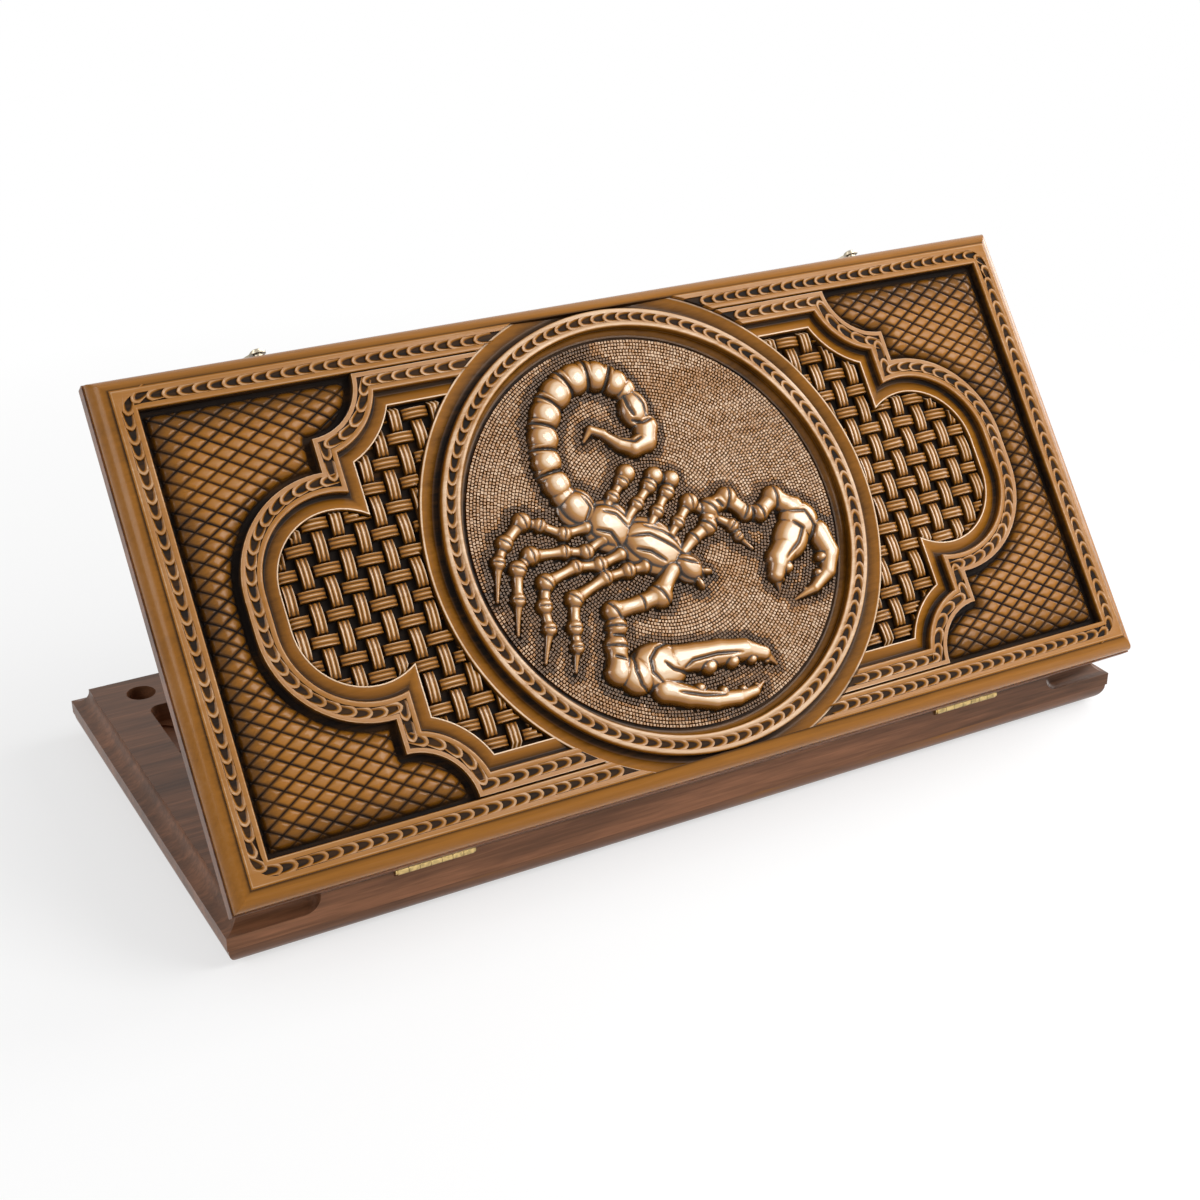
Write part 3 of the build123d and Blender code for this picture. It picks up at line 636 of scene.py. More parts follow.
def quarter_round(distance, gap, width):
    """Rise from 0 to 1 as a quarter round that starts after a gap."""
    part = np.clip((distance - gap) / width, 0, 1)
    return np.sqrt(1 - (1 - part) ** 2)


def dense(route, step):
    """A route with points no further apart than step."""
    points = []
    for (ax, ay), (bx, by) in zip(route[:-1], route[1:]):
        count = max(int(math.hypot(bx - ax, by - ay) / step), 1)
        xs = np.linspace(ax, bx, count, endpoint=False)
        points.extend(zip(xs, np.linspace(ay, by, count, endpoint=False)))
    return points


class BOARD_OT_pillows(bpy.types.Operator):
    """Make the domed corner fields with their cut lattice"""

    bl_idname = "board.pillows"
    bl_label = "Lattice pillows"

    def execute(self, context):
        size = context.scene.board_carving
        shares = (0, 0.05, 0.1, 0.2, 0.35, 0.5, 0.65, 0.8, 0.9, 0.95)
        cells = np.arange(-FIELD_Y // size.lattice_height + 8, FIELD_X / size.lattice_width + 16)
        lines = (cells[:, None] + np.array(shares)).ravel()
        first, second = np.meshgrid(lines, lines, indexing="ij")
        x = (first + second) / 2 * size.lattice_width
        y = (first - second) / 2 * size.lattice_height
        outline = dense(wing_route(0.0, 100.0), 1.2)
        away = distance_to([(px, py) for px, py in outline if py > -1], x, np.abs(y))
        inside = inside_wing(x, np.abs(y), 0.0)
        from_wing = np.where(inside, -away, away)
        from_border = np.minimum(FIELD_X - x, FIELD_Y - np.abs(y))
        rise = quarter_round(from_wing, WING_GAP, 11.5) * quarter_round(from_border, BORDER_GAP, 10.0)
        near = [np.abs(line - np.round(line)) for line in (first, second)]
        cut = np.maximum(*[np.clip(1.35 - n / CUT_HALF, 0, 1) for n in near])
        knot = np.clip(1 - near[0] / KNOT_HALF, 0, 1) * np.clip(1 - near[1] / KNOT_HALF, 0, 1)
        crown = np.sqrt(np.clip(near[0] * 2, 0, 1) * np.clip(near[1] * 2, 0, 1))
        live = np.clip(np.minimum(from_wing - WING_GAP, from_border - BORDER_GAP) / 1.2, 0, 1)
        z = PILLOW_FLOOR + PILLOW_RISE * rise + live * (0.14 * crown - size.lattice_cut * cut - 0.7 * knot)
        # Painted shade: the pillows darken towards the wing and the border; each diamond is a little lighter
        # at its middle
        depth = np.clip(np.minimum(from_wing / 13.0, from_border / 25.0), 0, 1)
        tone = live * (0.12 + 0.37 * depth + 0.1 * crown) * (1 - 0.97 * cut)
        shown = (from_wing > -4) & (from_border > -4) & (x > SHOULDER_X - SHOULDER_RADIUS - 4)
        keep = shown[:-1, :-1] & shown[1:, :-1] & shown[:-1, 1:] & shown[1:, 1:]
        rows = np.stack([x, y, z], axis=-1)
        relief = Relief()
        both_ways(relief, rows, tone, keep=keep)
        new_piece(relief.mesh("lid_pillows"), ["lid_carved_panel"])
        return {"FINISHED"}


class BOARD_OT_ring(bpy.types.Operator):
    """Make the medallion's ring and the moat round it"""

    bl_idname = "board.ring"
    bl_label = "Ring and moat"

    def execute(self, context):
        # The pale tone on the moat's outer lip is a painted highlight
        moat = [
            (146.3, WEAVE_FLOOR, 0.02), (146.25, 27.2, 0.2), (145.9, 28.3, 0.95), (145.2, 28.4, 0.95),
            (144.6, 28.0, 0.46), (142.8, 27.4, 0.4), (140.6, 26.6, 0.34), (138.6, 25.8, 0.2),
            (137.0, 25.4, 0.04), (RING_RADIUS, 25.4, 0.02),
        ]

        def moat_route(radius):
            end = math.degrees(math.asin(min((HALF_WIDTH - MOULDING) / radius, 1)))
            return arc((0, 0), radius, -end, end, 121)

        relief = Relief()
        swept(relief, moat, moat_route, walled=False)
        outer, inner = RING_RADIUS, RING_INNER
        # The ring's tones, paler than the border band's, are painted sheen, with painted highlights on its
        # edges
        ring = [
            (outer, 25.0, 0.02), (outer, 27.5, 0.05), (outer, 29.6, 0.32), (outer - 0.15, 31.0, 0.5),
            (outer - 0.5, 31.7, 0.72), (outer - 1.2, FACE, 0.9), (outer - 2.6, FACE, 0.82),
            (outer - 2.9, FACE - 0.1, 0.9), (outer - 3.15, CHAIN_FLOOR, 0.03),
            (inner + 3.15, CHAIN_FLOOR, 0.03), (inner + 2.9, FACE - 0.15, 0.86), (inner + 2.6, FACE, 0.78),
            (inner + 0.9, FACE, 0.9), (inner + 0.3, 31.7, 0.7), (inner, 31.0, 0.3),
            (inner, GROUND + 4.0, 0.16),
        ]
        foot = arc((GROUND_RADIUS, GROUND + 4), 4, 0, -90, 7)
        ring += [(r, z, t) for (r, z), t in zip(foot[1:], (0.2, 0.26, 0.3, 0.3, 0.2, 0.1))]
        ring += [(GROUND_RADIUS - 0.2, GROUND - 0.8, 0.04)]
        rows = [circle(radius, z, 288) for radius, z, _ in ring]
        relief.skin(rows, [tone for _, _, tone in ring], closed=True)
        new_piece(relief.mesh("lid_ring"), ["lid_medallion_ring"])
        return {"FINISHED"}


def chevron(reach, back):
    """One chevron of a chain: a raised bow with its arms drawn back, and a scoop cut behind it."""
    outer = [(-1.28 * back, 1.0), (-0.95 * back, 1.0), (-0.6 * back, 1.0), (-2.5, 1.0), (-1.6, 0.82),
             (-0.55, 0.46)]
    inner = [(-1.28 * back, 0.99), (-0.95 * back, 0.95), (-0.62 * back, 0.86), (-3.3, 0.7), (-2.15, 0.5),
             (-1.5, 0.26)]
    outer = np.array(outer + [(0, 0)] + [(x, -y) for x, y in outer[::-1]]) * (1, reach)
    inner = np.array(inner + [(-1.2, 0)] + [(x, -y) for x, y in inner[::-1]]) * (1, reach)
    scoop = inner * (1, 0.6) - (1.7, 0)
    top = FACE - CHAIN_FLOOR - 0.05
    levels = [(outer + (0.35, 0), 0), (outer, top), (inner, top), (scoop, 0.05)]
    link = Relief()
    link.skin([at_height(route, z) for route, z in levels], [0.02, 0.74, 0.78, 0.02])
    return link


class BOARD_OT_chains(bpy.types.Operator):
    """Carve the chains of chevrons along the border, the cartouche and the ring"""

    bl_idname = "board.chains"
    bl_label = "Chevron chains"

    def execute(self, context):
        size = context.scene.board_carving
        back = size.chain_pitch
        link = pattern_object("chevron", chevron(size.chain_reach, back))
        tree = Pattern("Chain of chevrons", Spacing=back, Link=link, Unevenness=0.05)
        spaced = tree.add("GeometryNodeResampleCurve", {"mode": "LENGTH"}, Curve=tree.source["Geometry"],
                          Length=tree.source["Spacing"])
        turned = tree.add("FunctionNodeAlignRotationToVector", {"axis": "X", "pivot_axis": "Z"},
                          Vector=tree.add("GeometryNodeInputTangent").outputs[0])
        chain = tree.copies(spaced.outputs[0], "Link", Rotation=turned.outputs[0], Scale=tree.uneven())

        def against_clock(route):
            right = at_height(route[::-1], CHAIN_FLOOR)
            left = right[::-1] * (-1, 1, 1)
            return [run for half in (right, left) for run in runs_between_corners(half, back)]

        border = edge_route(BORDER_LINE, CORNER_ROUND, moat_start(HALF_WIDTH - BORDER_LINE) + CHAIN_END_GAP)
        wing = wing_route(WING_LINE, moat_start(FIELD_Y - WING_LINE) + CHAIN_END_GAP)
        ring = circle((RING_RADIUS + RING_INNER) / 2, CHAIN_FLOOR, 180)
        guide = route_object("chain_routes", against_clock(border) + against_clock(wing) + [(ring, True)])
        new_piece(tree.grow(guide, chain, "lid_chains"), ["lid_carved_panel"])
        return {"FINISHED"}


def woven_strip(length, width, tone):
    """One visible length of a basket strip, ridged along itself and bowed over its crossing."""
    strip = Relief()
    along = np.array([-1, -0.92, -0.65, -0.3, 0, 0.3, 0.65, 0.92, 1]) * length / 2
    lanes = np.linspace(-0.86, 0.86, 2 * STRIP_RIDGES - 1) * width / 2
    across = np.concatenate([[-width / 2, -width / 2 * 0.99], lanes, [width / 2 * 0.99, width / 2]])
    is_ridge = np.arange(len(lanes)) % 2 == 0
    shade = np.where(is_ridge, tone, 0.16)
    lift = np.concatenate([[-5.0, -0.9], np.where(is_ridge, 0.0, -0.55), [-0.9, -5.0]])
    tones = np.concatenate([[0.0, 0.3], shade, [0.3, 0.0]])
    rows, shades = [], []
    for x in along:
        part = abs(x) / (length / 2)
        bow = -1.7 * part**2.2 - (1.4 if part > 0.95 else 0)
        z = WEAVE_CREST - WEAVE_FLOOR + lift + bow
        rows.append(np.column_stack([np.full(len(across), x), across, z]))
        # Painted shade: each strip darkens towards its ends, where it dips under the strips that cross it
        shades.append(tones * (1 - 0.75 * part**4))
    ends = [rows[0].copy(), rows[-1].copy()]
    for end in ends:
        end[:, 2] = 0
    strip.skin([ends[0]] + rows + [ends[1]], [shades[0] * 0.2] + shades + [shades[-1] * 0.2])
    return strip


class BOARD_OT_basket(bpy.types.Operator):
    """Weave the basket panels of the two wings"""

    bl_idname = "board.basket"
    bl_label = "Basket weave"

    def execute(self, context):
        size = context.scene.board_carving
        pitch_x, pitch_y = size.weave_across, size.weave_up
        points, kinds = [], []
        for i in range(int(MOAT_RADIUS / 2 / pitch_x), int(FIELD_X / pitch_x) + 1):
            for j in range(-12, 12):
                x, y = i * pitch_x, (j + 0.5) * pitch_y
                seen = inside_wing(np.array(x), np.array(abs(y)), WEAVE_INSET)
                if seen and math.hypot(x, y) > WEAVE_START:
                    for side in (1, -1):
                        points.append((side * x, y, WEAVE_FLOOR))
                        kinds.append((i + j + 1) % 2)
        level = pattern_object("level_strip", woven_strip(16.2, 6.3, 0.96))
        upright = pattern_object("upright_strip", woven_strip(18.0, 6.4, 1.2))
        tree = Pattern("Plain weave", Level_strip=level, Upright_strip=upright, Sway=0.03)
        is_upright = tree.add("FunctionNodeCompare", {"data_type": "FLOAT", "operation": "GREATER_THAN"},
                              _0=tree.stored("kind"), _1=0.5)
        is_level = tree.add("FunctionNodeBooleanMath", {"operation": "NOT"}, _0=is_upright.outputs[0])
        sway = tree.random(tree.math("MULTIPLY", tree.source["Sway"], -1.0), tree.source["Sway"])
        joined = tree.add("GeometryNodeJoinGeometry")
        strips = (("Level strip", is_level, 0.0), ("Upright strip", is_upright, math.pi / 2))
        for label, chosen, quarter in strips:
            turn = tree.add("ShaderNodeCombineXYZ", Z=tree.math("ADD", sway, quarter))
            tree.feed(joined, _0=tree.copies(tree.source["Geometry"], label, Selection=chosen.outputs[0],
                                             Rotation=turn.outputs[0]))
        guide = point_object("weave_crossings", points, kind=kinds)

        def tucked_under(places):
            under = np.hypot(places[:, 0], places[:, 1]) < MOAT_RADIUS + 0.2
            under |= ~inside_wing(np.abs(places[:, 0]), np.abs(places[:, 1]), COVE_FOOT)
            places[under, 2] = WEAVE_FLOOR
            return places

        baskets = ["lid_basket_left", "lid_basket_right"]
        weave = tree.grow(guide, joined.outputs[0], "lid_weave", trim=tucked_under)
        new_piece(weave, baskets)
        floor = Relief()
        z = WEAVE_FLOOR + 0.1
        both_ways(floor, [[(x, -103, z), (x, 103, z)] for x in (92, 233)], [0.0, 0.0])
        new_piece(floor.mesh("lid_weave_floor"), baskets)
        return {"FINISHED"}


# The scorpion: joints as (x, y, half width) on the medallion's ground, head to the lower right

PLATES = [(-47, 22, 12, 12, -48), (-31, 8, 15.5, 15, -41), (-8, -9, 21, 15.5, -39), (10, -26, 10.5, 9, -45)]
TAIL = [(-53, 31, 8.6), (-57, 45, 8.8), (-56, 59, 9.2), (-52, 73, 9.4), (-44, 86, 9.4), (-31, 96, 9.6),
        (-16, 99, 9.6), (-3, 95, 9), (6, 86, 8.4)]
BULB = (8, 73, 12.5, 10, 78)
STING = [(12, 61, 8.6), (9, 53, 8), (0, 50, 6.4), (-8, 54, 5), (-16, 62, 3.8), (-23, 66, 3.2), (-29, 60, 1.4)]
LEGS = [
    [(-46, 10, 4.2), (-60, 9, 4.2), (-73, 17, 4), (-83, 21, 5), (-97, 11, 4.6), (-104, 1, 4),
     (-111, -20, 1.2)],
    [(-38, 1, 4.2), (-50, -4, 4.4), (-63, -1, 4), (-84, 1, 5), (-94, -5, 4.8), (-99, -22, 4),
     (-105, -41, 1.2)],
    [(-30, -10, 4.2), (-44, -13, 4.4), (-59, -11, 4), (-80, -16, 5), (-85, -29, 4.4), (-86, -42, 4),
     (-94, -60, 1.2)],
    [(-18, -20, 4.4), (-28, -20, 4.4), (-43, -21, 4.2), (-66, -29, 5), (-71, -45, 4.4), (-73, -56, 3.8),
     (-78, -69, 1.2)],
    [(-34, 14, 4), (-23, 24, 4), (-14, 32, 4.2), (-10, 36, 5)],
    [(-20, 8, 4), (-9, 17, 4), (2, 26, 4.4), (7, 31, 5)],
    [(-8, 0, 4), (2, 10, 4), (12, 20, 4.4), (17, 27, 4.8)],
    [(2, -9, 4), (13, 1, 4), (24, 11, 5), (36, 1, 4), (47, -8, 3.8), (49, -15, 3.2), (56, -24, 1.2)],
]
ARMS = [
    [(6, -20, 4.6), (20, -10, 5), (31, -5, 6.6), (36, 5, 7.4), (49, 9, 7.4), (58, -2, 6.2), (68, -4, 6.4),
     (80, 3, 8), (90, -6, 9)],
    [(-1, -26, 6), (-13, -38, 8.6), (-26, -40, 6), (-45, -41, 7.4), (-46, -50, 7.2), (-50, -61, 8),
     (-53, -75, 9.4)],
]
PALMS = [(92, -14, 14, 13, 0), (83, -23, 16, 12, 48), (-28, -78, 19, 15, -12), (-43, -80, 12, 12, -50)]
FINGERS = [
    ([(102, -24, 8.6), (105, -37, 7.6), (100, -48, 6), (88, -56, 4.2), (73, -60, 1.2)], -1),
    ([(80, -26, 10), (70, -34, 8.6), (65, -43, 5.8), (65, -52, 1.2)], 1),
    ([(-16, -77, 10), (-4, -78, 9.4), (12, -79, 8.8), (28, -81, 7.4), (40, -86, 5.2), (47, -94, 1.2)], -1),
    ([(-29, -92, 8.6), (-16, -99, 7.2), (0, -105, 6.4), (15, -107, 5.4), (27, -106, 4), (35, -102, 1.2)], 1),
]
CREASES = [
    [(-44, 29), (-40, 20), (-46, 12)], [(-35, 17), (-26, 13), (-20, 3)], [(-42, 7), (-33, 3), (-28, -6)],
    [(-24, -1), (-10, -3), (4, -13), (10, -19)], [(-21, -9), (-12, -13), (-3, -21)],
    [(-12, 4), (0, -2), (9, -10)], [(3, -20), (10, -24), (17, -26)], [(2, 66), (9, 63), (17, 65)],
    [(9, 83), (13, 74), (13, 66)], [(3, 82), (3, 74), (5, 67)], [(6, 55), (0, 53), (-7, 57), (-15, 64)],
    [(84, -8), (95, -10), (99, -20), (94, -29), (96, -40)], [(84, -14), (90, -20), (84, -28), (72, -36)],
    [(-38, -64), (-43, -70), (-45, -78), (-44, -86), (-38, -94)],
    [(-11, -69), (-19, -66), (-28, -68), (-34, -73), (-35, -81), (-30, -89)],
    [(-27, -76), (-22, -82), (-13, -86), (-4, -87)],
    [(-16, -84), (-8, -80), (8, -80), (26, -83)], [(-24, -95), (-8, -101), (8, -104)],
    [(-55, -66), (-47, -70)], [(-52, -54), (-42, -57)], [(40, 9), (44, 3)], [(63, 1), (62, -9)],
]
# How far along each length of a finger its tooth stands
TOOTH_PLACE = 0.4


def along_and_away(x, y, start, end):
    """How far along a straight length each point lies, from 0 to 1, and how far from it."""
    (ax, ay), (bx, by) = start, end
    share = np.clip(((x - ax) * (bx - ax) + (y - ay) * (by - ay)) / math.dist(start, end) ** 2, 0, 1)
    return share, np.hypot(x - ax - share * (bx - ax), y - ay - share * (by - ay))


class Height:
    """A grid of heights over the medallion's ground, raised shape by shape."""

    def __init__(self, step):
        self.xs = np.arange(-118, 114, step)
        self.ys = np.arange(-117, 112, step)
        self.z = np.full((len(self.xs), len(self.ys)), -3.0)

    def window(self, x, y, reach):
        """The part of the grid within reach of a point, with its coordinates."""
        i = slice(*np.searchsorted(self.xs, (x - reach, x + reach)))
        j = slice(*np.searchsorted(self.ys, (y - reach, y + reach)))
        gx, gy = np.meshgrid(self.xs[i], self.ys[j], indexing="ij")
        return (i, j), gx, gy

    def oval(self, x, y, along, across, angle, height, tilt=0.0):
        """Raises a dome on an oval; tilt lifts its far end, as a plate that laps over the next."""
        place, gx, gy = self.window(x, y, max(along, across) + 3)
        turn = math.radians(angle)
        u = ((gx - x) * math.cos(turn) + (gy - y) * math.sin(turn)) / along
        v = (-(gx - x) * math.sin(turn) + (gy - y) * math.cos(turn)) / across
        r = np.hypot(u, v)
        dome = height * np.sqrt(np.clip(1 - r**2.4, 0, 1)) + tilt * u * np.clip(1 - r, 0, 1) * 3
        self.z[place] = np.maximum(self.z[place], np.where(r < 1, dome, (1 - r) * min(along, across) * 2))

    def limb(self, start, end, waist, lift):
        """Raises one tapered length between two joints, slimmer at its waist than at its ends."""
        (ax, ay, ar), (bx, by, br) = start, end
        reach = math.hypot(bx - ax, by - ay) / 2 + max(ar, br) + 3
        place, gx, gy = self.window((ax + bx) / 2, (ay + by) / 2, reach)
        share, away = along_and_away(gx, gy, (ax, ay), (bx, by))
        radius = (ar + (br - ar) * share) * (waist + (1 - waist) * np.abs(2 * share - 1) ** 2.2)
        part = away / radius
        dome = np.minimum(radius * lift, RELIEF_TOP - 0.4) * np.sqrt(np.clip(1 - part**2.2, 0, 1))
        self.z[place] = np.maximum(self.z[place], np.where(part < 1, dome, (radius - away) * 2))

    def limbs(self, route, waist, lift):
        """Raises every length of a route."""
        for start, end in zip(route, route[1:]):
            self.limb(start, end, waist, lift)

    def ring_cuts(self, route, width, depth):
        """Cuts a short V across a limb at each of its inner joints."""
        for (ax, ay, _), (x, y, r), (bx, by, _) in zip(route, route[1:], route[2:]):
            span = math.hypot(bx - ax, by - ay) / r / 1.25
            over_x, over_y = -(by - ay) / span, (bx - ax) / span
            self.crease([(x - over_x, y - over_y), (x, y), (x + over_x, y + over_y)], width, depth)

    def crease(self, route, width=1.5, depth=2.2):
        """Cuts a V along a route, shallower towards both ends."""
        reach = max(math.dist(route[0], point) for point in route) + 4
        place, gx, gy = self.window(*route[0], reach)
        near = np.full(gx.shape, np.inf)
        fade = np.zeros(gx.shape)
        count = len(route) - 1
        for i, (start, end) in enumerate(zip(route, route[1:])):
            share, away = along_and_away(gx, gy, start, end)
            fade = np.where(away < near, 1 - np.abs(2 * (i + share) / count - 1) ** 3, fade)
            near = np.minimum(near, away)
        cut = depth * fade * np.clip(1 - near / width, 0, 1)
        self.z[place] -= np.where(self.z[place] > 0.5, cut, 0)


def scorpion_heights(step):
    """The whole figure as heights over the ground, with an animal's own joints and plates."""
    field = Height(step)
    for route in LEGS:
        route = [(x, y, r * 1.15) for x, y, r in route]
        field.limbs(route, 0.72, 1.25)
        for x, y, r in route[1:]:
            field.oval(x, y, r * 1.1, r * 1.1, 0, r * 1.3)
        field.ring_cuts(route, 1.1, 1.1)
    for route in ARMS:
        field.limbs(route, 0.8, 1.12)
        field.ring_cuts(route, 1.4, 1.7)
    for route, side in FINGERS:
        field.limbs(route, 0.96, 1.15)
        for (ax, ay, ar), (bx, by, br) in zip(route[1:], route[2:]):
            r = ar + (br - ar) * TOOTH_PLACE
            off = side * r * 0.8 / math.hypot(bx - ax, by - ay)
            field.oval(ax + (bx - ax) * TOOTH_PLACE - (by - ay) * off,
                       ay + (by - ay) * TOOTH_PLACE + (bx - ax) * off, r * 0.62, r * 0.55, 0, r * 0.95)
    for x, y, along, across, angle in PALMS:
        field.oval(x, y, along, across, angle, RELIEF_TOP)
    field.limbs(TAIL, 0.92, 0.8)
    for (ax, ay, ar), (bx, by, br) in zip(TAIL, TAIL[1:]):
        angle = math.degrees(math.atan2(by - ay, bx - ax))
        length = math.hypot(bx - ax, by - ay)
        field.oval((ax + bx) / 2, (ay + by) / 2, length * 0.68, (ar + br) * 0.54, angle, 8.2)
    field.ring_cuts(TAIL, 1.5, 3.2)
    field.oval(*BULB, RELIEF_TOP)
    field.limbs(STING, 0.97, 1.2)
    for x, y, along, across, angle in PLATES:
        field.oval(x, y, along * 1.1, across * 1.1, angle, 5.0)
        field.oval(x, y, along, across * 0.84, angle, RELIEF_TOP - 0.2, tilt=-0.9)
    for x, y, angle in ((14, -37, -70), (20, -31, -15)):
        field.oval(x, y, 5.2, 2.4, angle, 5.6)
    for route in CREASES:
        field.crease(route)
    return field


class BOARD_OT_scorpion(bpy.types.Operator):
    """Carve the scorpion in relief on the medallion's ground"""

    bl_idname = "board.scorpion"
    bl_label = "Scorpion relief"

    def execute(self, context):
        step = context.scene.board_carving.relief_step * 1.0
        field = scorpion_heights(step)
        z = np.minimum(field.z, RELIEF_TOP)
        x, y = np.meshgrid(field.xs, field.ys, indexing="ij")
        for _ in range(2):
            near = (z[:-2, 1:-1] + z[2:, 1:-1] + z[1:-1, :-2] + z[1:-1, 2:]) / 4
            z[1:-1, 1:-1] = np.where(near > 0.6, (z[1:-1, 1:-1] + near) / 2, z[1:-1, 1:-1])
        slope_x, slope_y = np.gradient(z, step)
        level = 1 / np.sqrt(1 + slope_x**2 + slope_y**2)
        round_x, round_y = np.gradient(slope_x, step)[0], np.gradient(slope_y, step)[1]
        bulge = np.clip(-(round_x + round_y) * 0.8, -0.6, 0.1)
        # Painted light: higher parts and tops that face out of the lid are lighter as a painted highlight,
        # slopes and hollows darker as painted shade, and the ground at its foot dark
        tone = 0.08 + 0.05 * np.clip(z, 0, 6) + 0.56 * np.clip((level - 0.5) / 0.48, 0, 1) ** 2.6 + bulge
        tone = np.where(z > 0.15, np.clip(tone, 0.02, 1), 0.01)
        low = np.clip(z, -1.2, None)
        shown = z > -1.15
        keep = shown[:-1, :-1] | shown[1:, :-1] | shown[:-1, 1:] | shown[1:, 1:]
        relief = Relief()
        relief.skin(np.stack([x, y, GROUND + low], axis=-1), tone, keep=keep)
        mesh = relief.mesh("lid_scorpion_relief")
        mesh.set_sharp_from_angle(angle=math.pi)
        new_piece(mesh, ["lid_scorpion"], "gilded_relief")
        return {"FINISHED"}


def stipple_dot():
    """A small square stud with sloped sides."""
    corners = np.array([(-1, -1), (1, -1), (1, 1), (-1, 1)])
    base = at_height(corners * DOT_HALF, 0)
    cap = at_height(corners * DOT_TOP, 0.7)
    dot = Relief()
    dot.skin([base, cap], [0.05, 0.8], closed=True)
    dot.skin([cap[:2], cap[:1:-1]], [0.95, 0.95])
    return dot


def stipple_points(pitch, seed):
    """Rings of points on the ground, left out under the figure and shaded dark close to it."""
    field = scorpion_heights(1.0)
    points, turns, shades = [], [], []
    chance = np.random.default_rng(seed)
    for radius in np.arange(pitch, GROUND_RADIUS - 0.6, pitch):
        count = int(round(2 * math.pi * radius / pitch))
        for angle in np.linspace(0, 2 * math.pi, count, endpoint=False) + chance.random():
            x, y = radius * math.cos(angle), radius * math.sin(angle)
            i = min(np.searchsorted(field.xs, x), len(field.xs) - 1)
            j = min(np.searchsorted(field.ys, y), len(field.ys) - 1)
            if field.z[i, j] < 0.4:
                points.append((x, y, GROUND - 0.75))
                turns.append(angle)
                # Painted shade: dots beside the raised figure are darker, most of all beside its taller parts
                around = field.z[max(i - 4, 0):i + 5, max(j - 4, 0):j + 5].max()
                shade = 0.3 if around > 1 else 0.75 if around > -2 else 1
                shades.append(shade * (0.92 + 0.16 * chance.random()))
    return point_object("stipple_points", points, turn=turns, shade=shades)


class BOARD_OT_ground(bpy.types.Operator):
    """Stipple the medallion's ground with rings of small dots round the figure"""

    bl_idname = "board.ground"
    bl_label = "Stippled ground"

    def execute(self, context):
        size = context.scene.board_carving
        pitch = size.stipple_pitch * 1.0
        guide = stipple_points(pitch, size.seed)
        dot = pattern_object("stipple_dot", stipple_dot())
        tree = Pattern("Stipple", Dot=dot, Size=pitch, Unevenness=0.12)
        turn = tree.add("ShaderNodeCombineXYZ", Z=tree.stored("turn"))
        scale = tree.math("MULTIPLY", tree.uneven(), tree.source["Size"])
        studs = tree.copies(tree.source["Geometry"], "Dot", Rotation=turn.outputs[0], Scale=scale)
        new_piece(tree.grow(guide, studs, "lid_stipple", shaded=True), ["lid_medallion_ground"])
        ground = Relief()
        rows = [circle(radius, GROUND - 0.74, 96) for radius in (GROUND_RADIUS, 0.0)]
        ground.skin(rows, [0.03, 0.03], closed=True)
        new_piece(ground.mesh("lid_ground"), ["lid_medallion_ground"])
        return {"FINISHED"}


SIDES = ("free", "hinge", "left", "right")
FINISHES = {
    "walnut_rail": [f"{leaf}_{side}_rail" for leaf in ("base", "lid") for side in SIDES],
    "amber_panel": ["base_bottom_panel"],
    "mahogany_field": ["base_playing_field", "lid_playing_field"],
    "maple_points": ["base_light_points", "lid_light_points"],
    "wenge_points": ["base_dark_points", "lid_dark_points"],
    "old_brass": ["base_hinge_screws", "lid_hinge_screws", "hinge_left_base_plate", "hinge_right_base_plate",
                  "hinge_left_lid_plate", "hinge_right_lid_plate", "hinge_left_pin", "hinge_right_pin"],
    "plated_steel": ["catch_studs", "hook_pivot_screws", "hook_left", "hook_right"],
}


class BOARD_OT_finishes(bpy.types.Operator):
    """Stain the rails and fields, and give the hinges and hooks their metal"""

    bl_idname = "board.finishes"
    bl_label = "Woods and metals"

    def execute(self, context):
        for finish, names in FINISHES.items():
            for name in names:
                node = frame["nodes"][name]
                node.data.materials.clear()
                node.data.materials.append(named_material(finish))
        return {"FINISHED"}


def aimed(name, data, place, heading):
    """An object for a light or a camera, at a place and looking along a heading."""
    made = bpy.data.objects.new(name, data)
    made.location = place
    made.rotation_mode = "QUATERNION"
    made.rotation_quaternion = heading.to_track_quat("-Z", "Y")
    bpy.context.scene.collection.objects.link(made)
    return made


def softbox(name, place, target, size, power):
    """A square area light that looks at a point."""
    data = bpy.data.lights.new(name, "AREA")
    data.size = size
    data.energy = power
    return aimed(name, data, place, Vector(target) - Vector(place))


def white_paper():
    """Matt paper that is white to the camera, the more so away from the board, where little light falls."""
    paper = Finish("white_paper")
    reach = paper.add("ShaderNodeVectorMath", {"operation": "LENGTH"},
                      _0=paper.add("ShaderNodeTexCoord").outputs["Object"])
    share = paper.add("ShaderNodeMapRange", Value=reach.outputs["Value"], From_Min=0.3, From_Max=0.9,
                      To_Min=0.62, To_Max=1.0)
    paper.feed(paper.surface, Base_Color=(0.9, 0.9, 0.9, 1), Roughness=0.9, Specular_IOR_Level=0.1)
    glow = paper.add("ShaderNodeEmission", Strength=1.0)
    paper.white_when_seen("Material Output", paper.surface, glow, share.outputs["Result"])
    return paper.material


def white_floor():
    """A wide sheet of paper just under the board."""
    mesh = bpy.data.meshes.new("floor")
    corners = [(x, y, FLOOR_LEVEL) for x, y in ((-30, -30), (30, -30), (30, 30), (-30, 30))]
    mesh.from_pydata(corners, [], [(0, 1, 2, 3)])
    floor = bpy.data.objects.new("floor", mesh)
    bpy.context.scene.collection.objects.link(floor)
    mesh.materials.append(white_paper())
    return floor


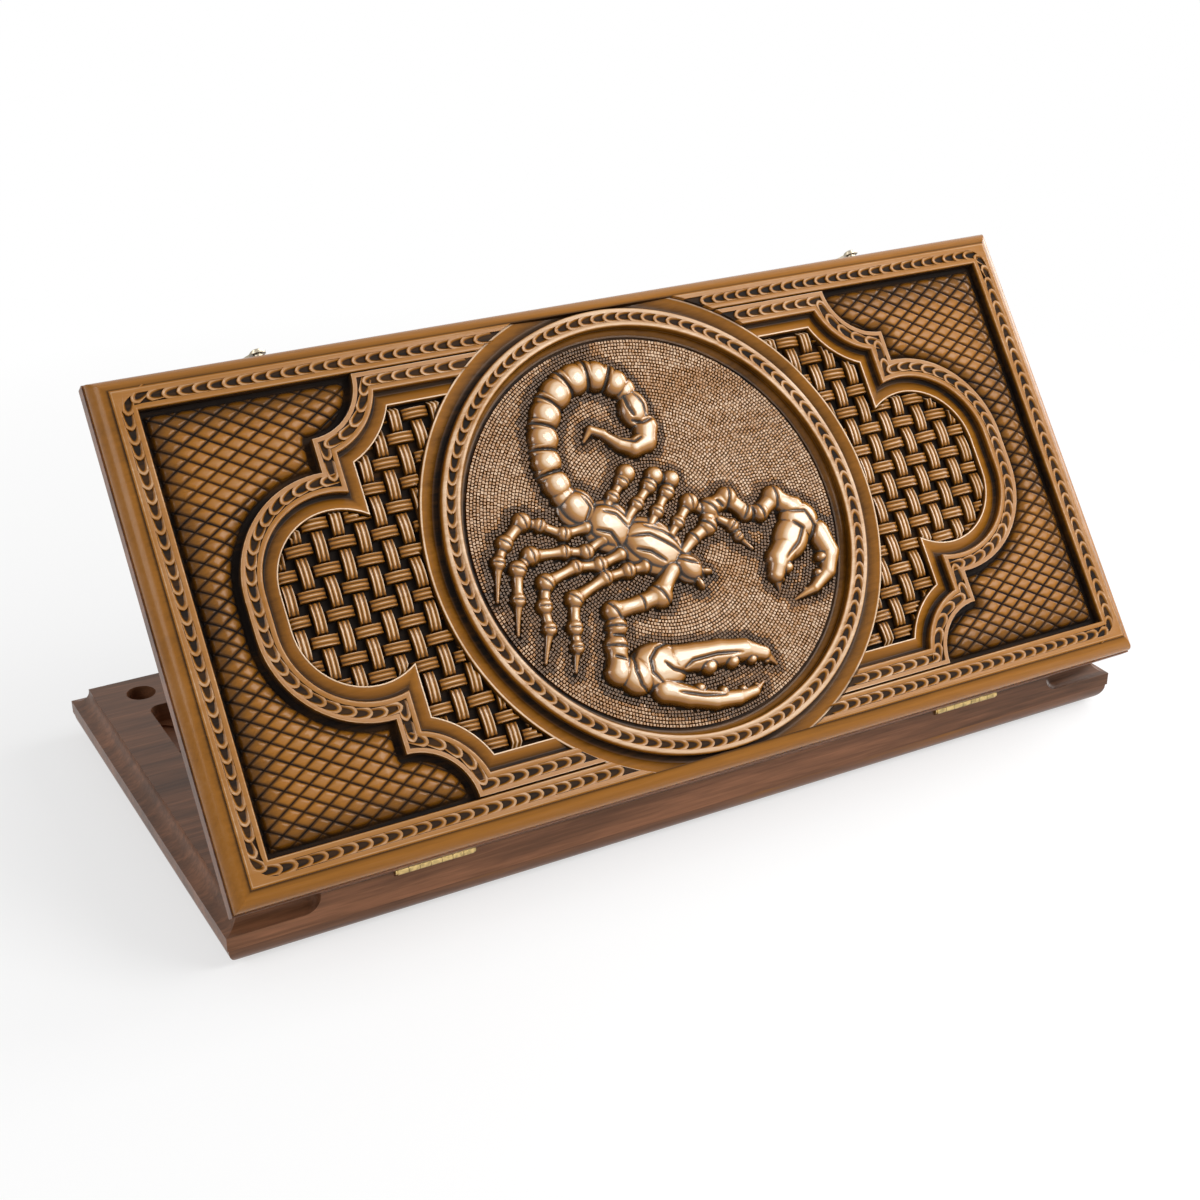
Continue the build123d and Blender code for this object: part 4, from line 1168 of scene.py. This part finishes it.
def studio_world(strength):
    """Even white light that shows as plain white behind the board and in reflections."""
    world = bpy.data.worlds.new("studio")
    world.use_nodes = True
    studio = NodeTree(world.node_tree)
    sky = studio.feed(world.node_tree.nodes["Background"], Color=(1, 1, 1, 1), Strength=strength)
    white = studio.add("ShaderNodeBackground", Color=(1, 1, 1, 1), Strength=1.0)
    studio.white_when_seen("World Output", sky, white)
    return world


def stage_camera(stage):
    """The camera at its place, turned by the angles of the stage."""
    data = bpy.data.cameras.new("camera")
    data.lens = stage.lens
    data.sensor_width = 36
    data.clip_start, data.clip_end = 0.05, 100
    turn, rise = stage.azimuth, stage.elevation
    back = Vector((math.sin(turn) * math.cos(rise), -math.cos(turn) * math.cos(rise), math.sin(rise)))
    return aimed("camera", data, CAMERA_PLACE, -back)


class BOARD_OT_stage(bpy.types.Operator):
    """Set the white floor, the studio light and the camera at the photograph's angle"""

    bl_idname = "board.stage"
    bl_label = "Stage"

    def execute(self, context):
        scene, stage = context.scene, context.scene.board_stage
        floor = white_floor()
        medallion = lid_axes() @ Vector((0, 0, FACE))
        out = (lid_axes() @ Vector((0, 0, 1)) - lid_axes() @ Vector()).normalized()
        view = (Vector(CAMERA_PLACE) - medallion).normalized()
        mirrored = 2 * view.dot(out) * out - view
        lights = [
            softbox("key_light", medallion + mirrored * 1.6, medallion, 0.9, stage.key),
            softbox("left_light", (-1.9, -0.3, 1.1), medallion, 0.8, stage.fill),
            softbox("right_light", (1.95, 0.15, 0.85), medallion, 1.25, stage.fill * 3.4),
        ]
        scene.world = studio_world(stage.sky)
        camera = stage_camera(stage)
        scene.camera = camera
        scene.view_settings.view_transform = "Standard"
        return {"FINISHED"}


class BOARD_PT_panel(bpy.types.Panel):
    """The board's steps and sizes in the sidebar"""

    bl_label = "Backgammon board"
    bl_idname = "BOARD_PT_panel"
    bl_space_type = "VIEW_3D"
    bl_region_type = "UI"
    bl_category = "Board"

    def draw(self, context):
        for step in STEPS:
            self.layout.operator(step.bl_idname)
        for group in (context.scene.board_carving, context.scene.board_colours, context.scene.board_stage):
            box = self.layout.box()
            for name in group.bl_rna.properties.keys():
                if name not in {"rna_type", "name"}:
                    box.prop(group, name)


STEPS = (
    BOARD_OT_finishes,
    BOARD_OT_border,
    BOARD_OT_pillows,
    BOARD_OT_ring,
    BOARD_OT_chains,
    BOARD_OT_basket,
    BOARD_OT_scorpion,
    BOARD_OT_ground,
    BOARD_OT_stage,
)
CLASSES = (BoardColours, CarvingSizes, StageSettings, *STEPS, BOARD_PT_panel)


def register():
    for item in CLASSES:
        bpy.utils.register_class(item)
    bpy.types.Scene.board_colours = PointerProperty(type=BoardColours)
    bpy.types.Scene.board_carving = PointerProperty(type=CarvingSizes)
    bpy.types.Scene.board_stage = PointerProperty(type=StageSettings)


def unregister():
    del bpy.types.Scene.board_stage
    del bpy.types.Scene.board_carving
    del bpy.types.Scene.board_colours
    for item in reversed(CLASSES):
        bpy.utils.unregister_class(item)


def main():
    """Makes every piece in order."""
    register()
    for step in STEPS:
        group, name = step.bl_idname.split(".")
        getattr(getattr(bpy.ops, group), name)()


if __name__ == "__main__":
    main()
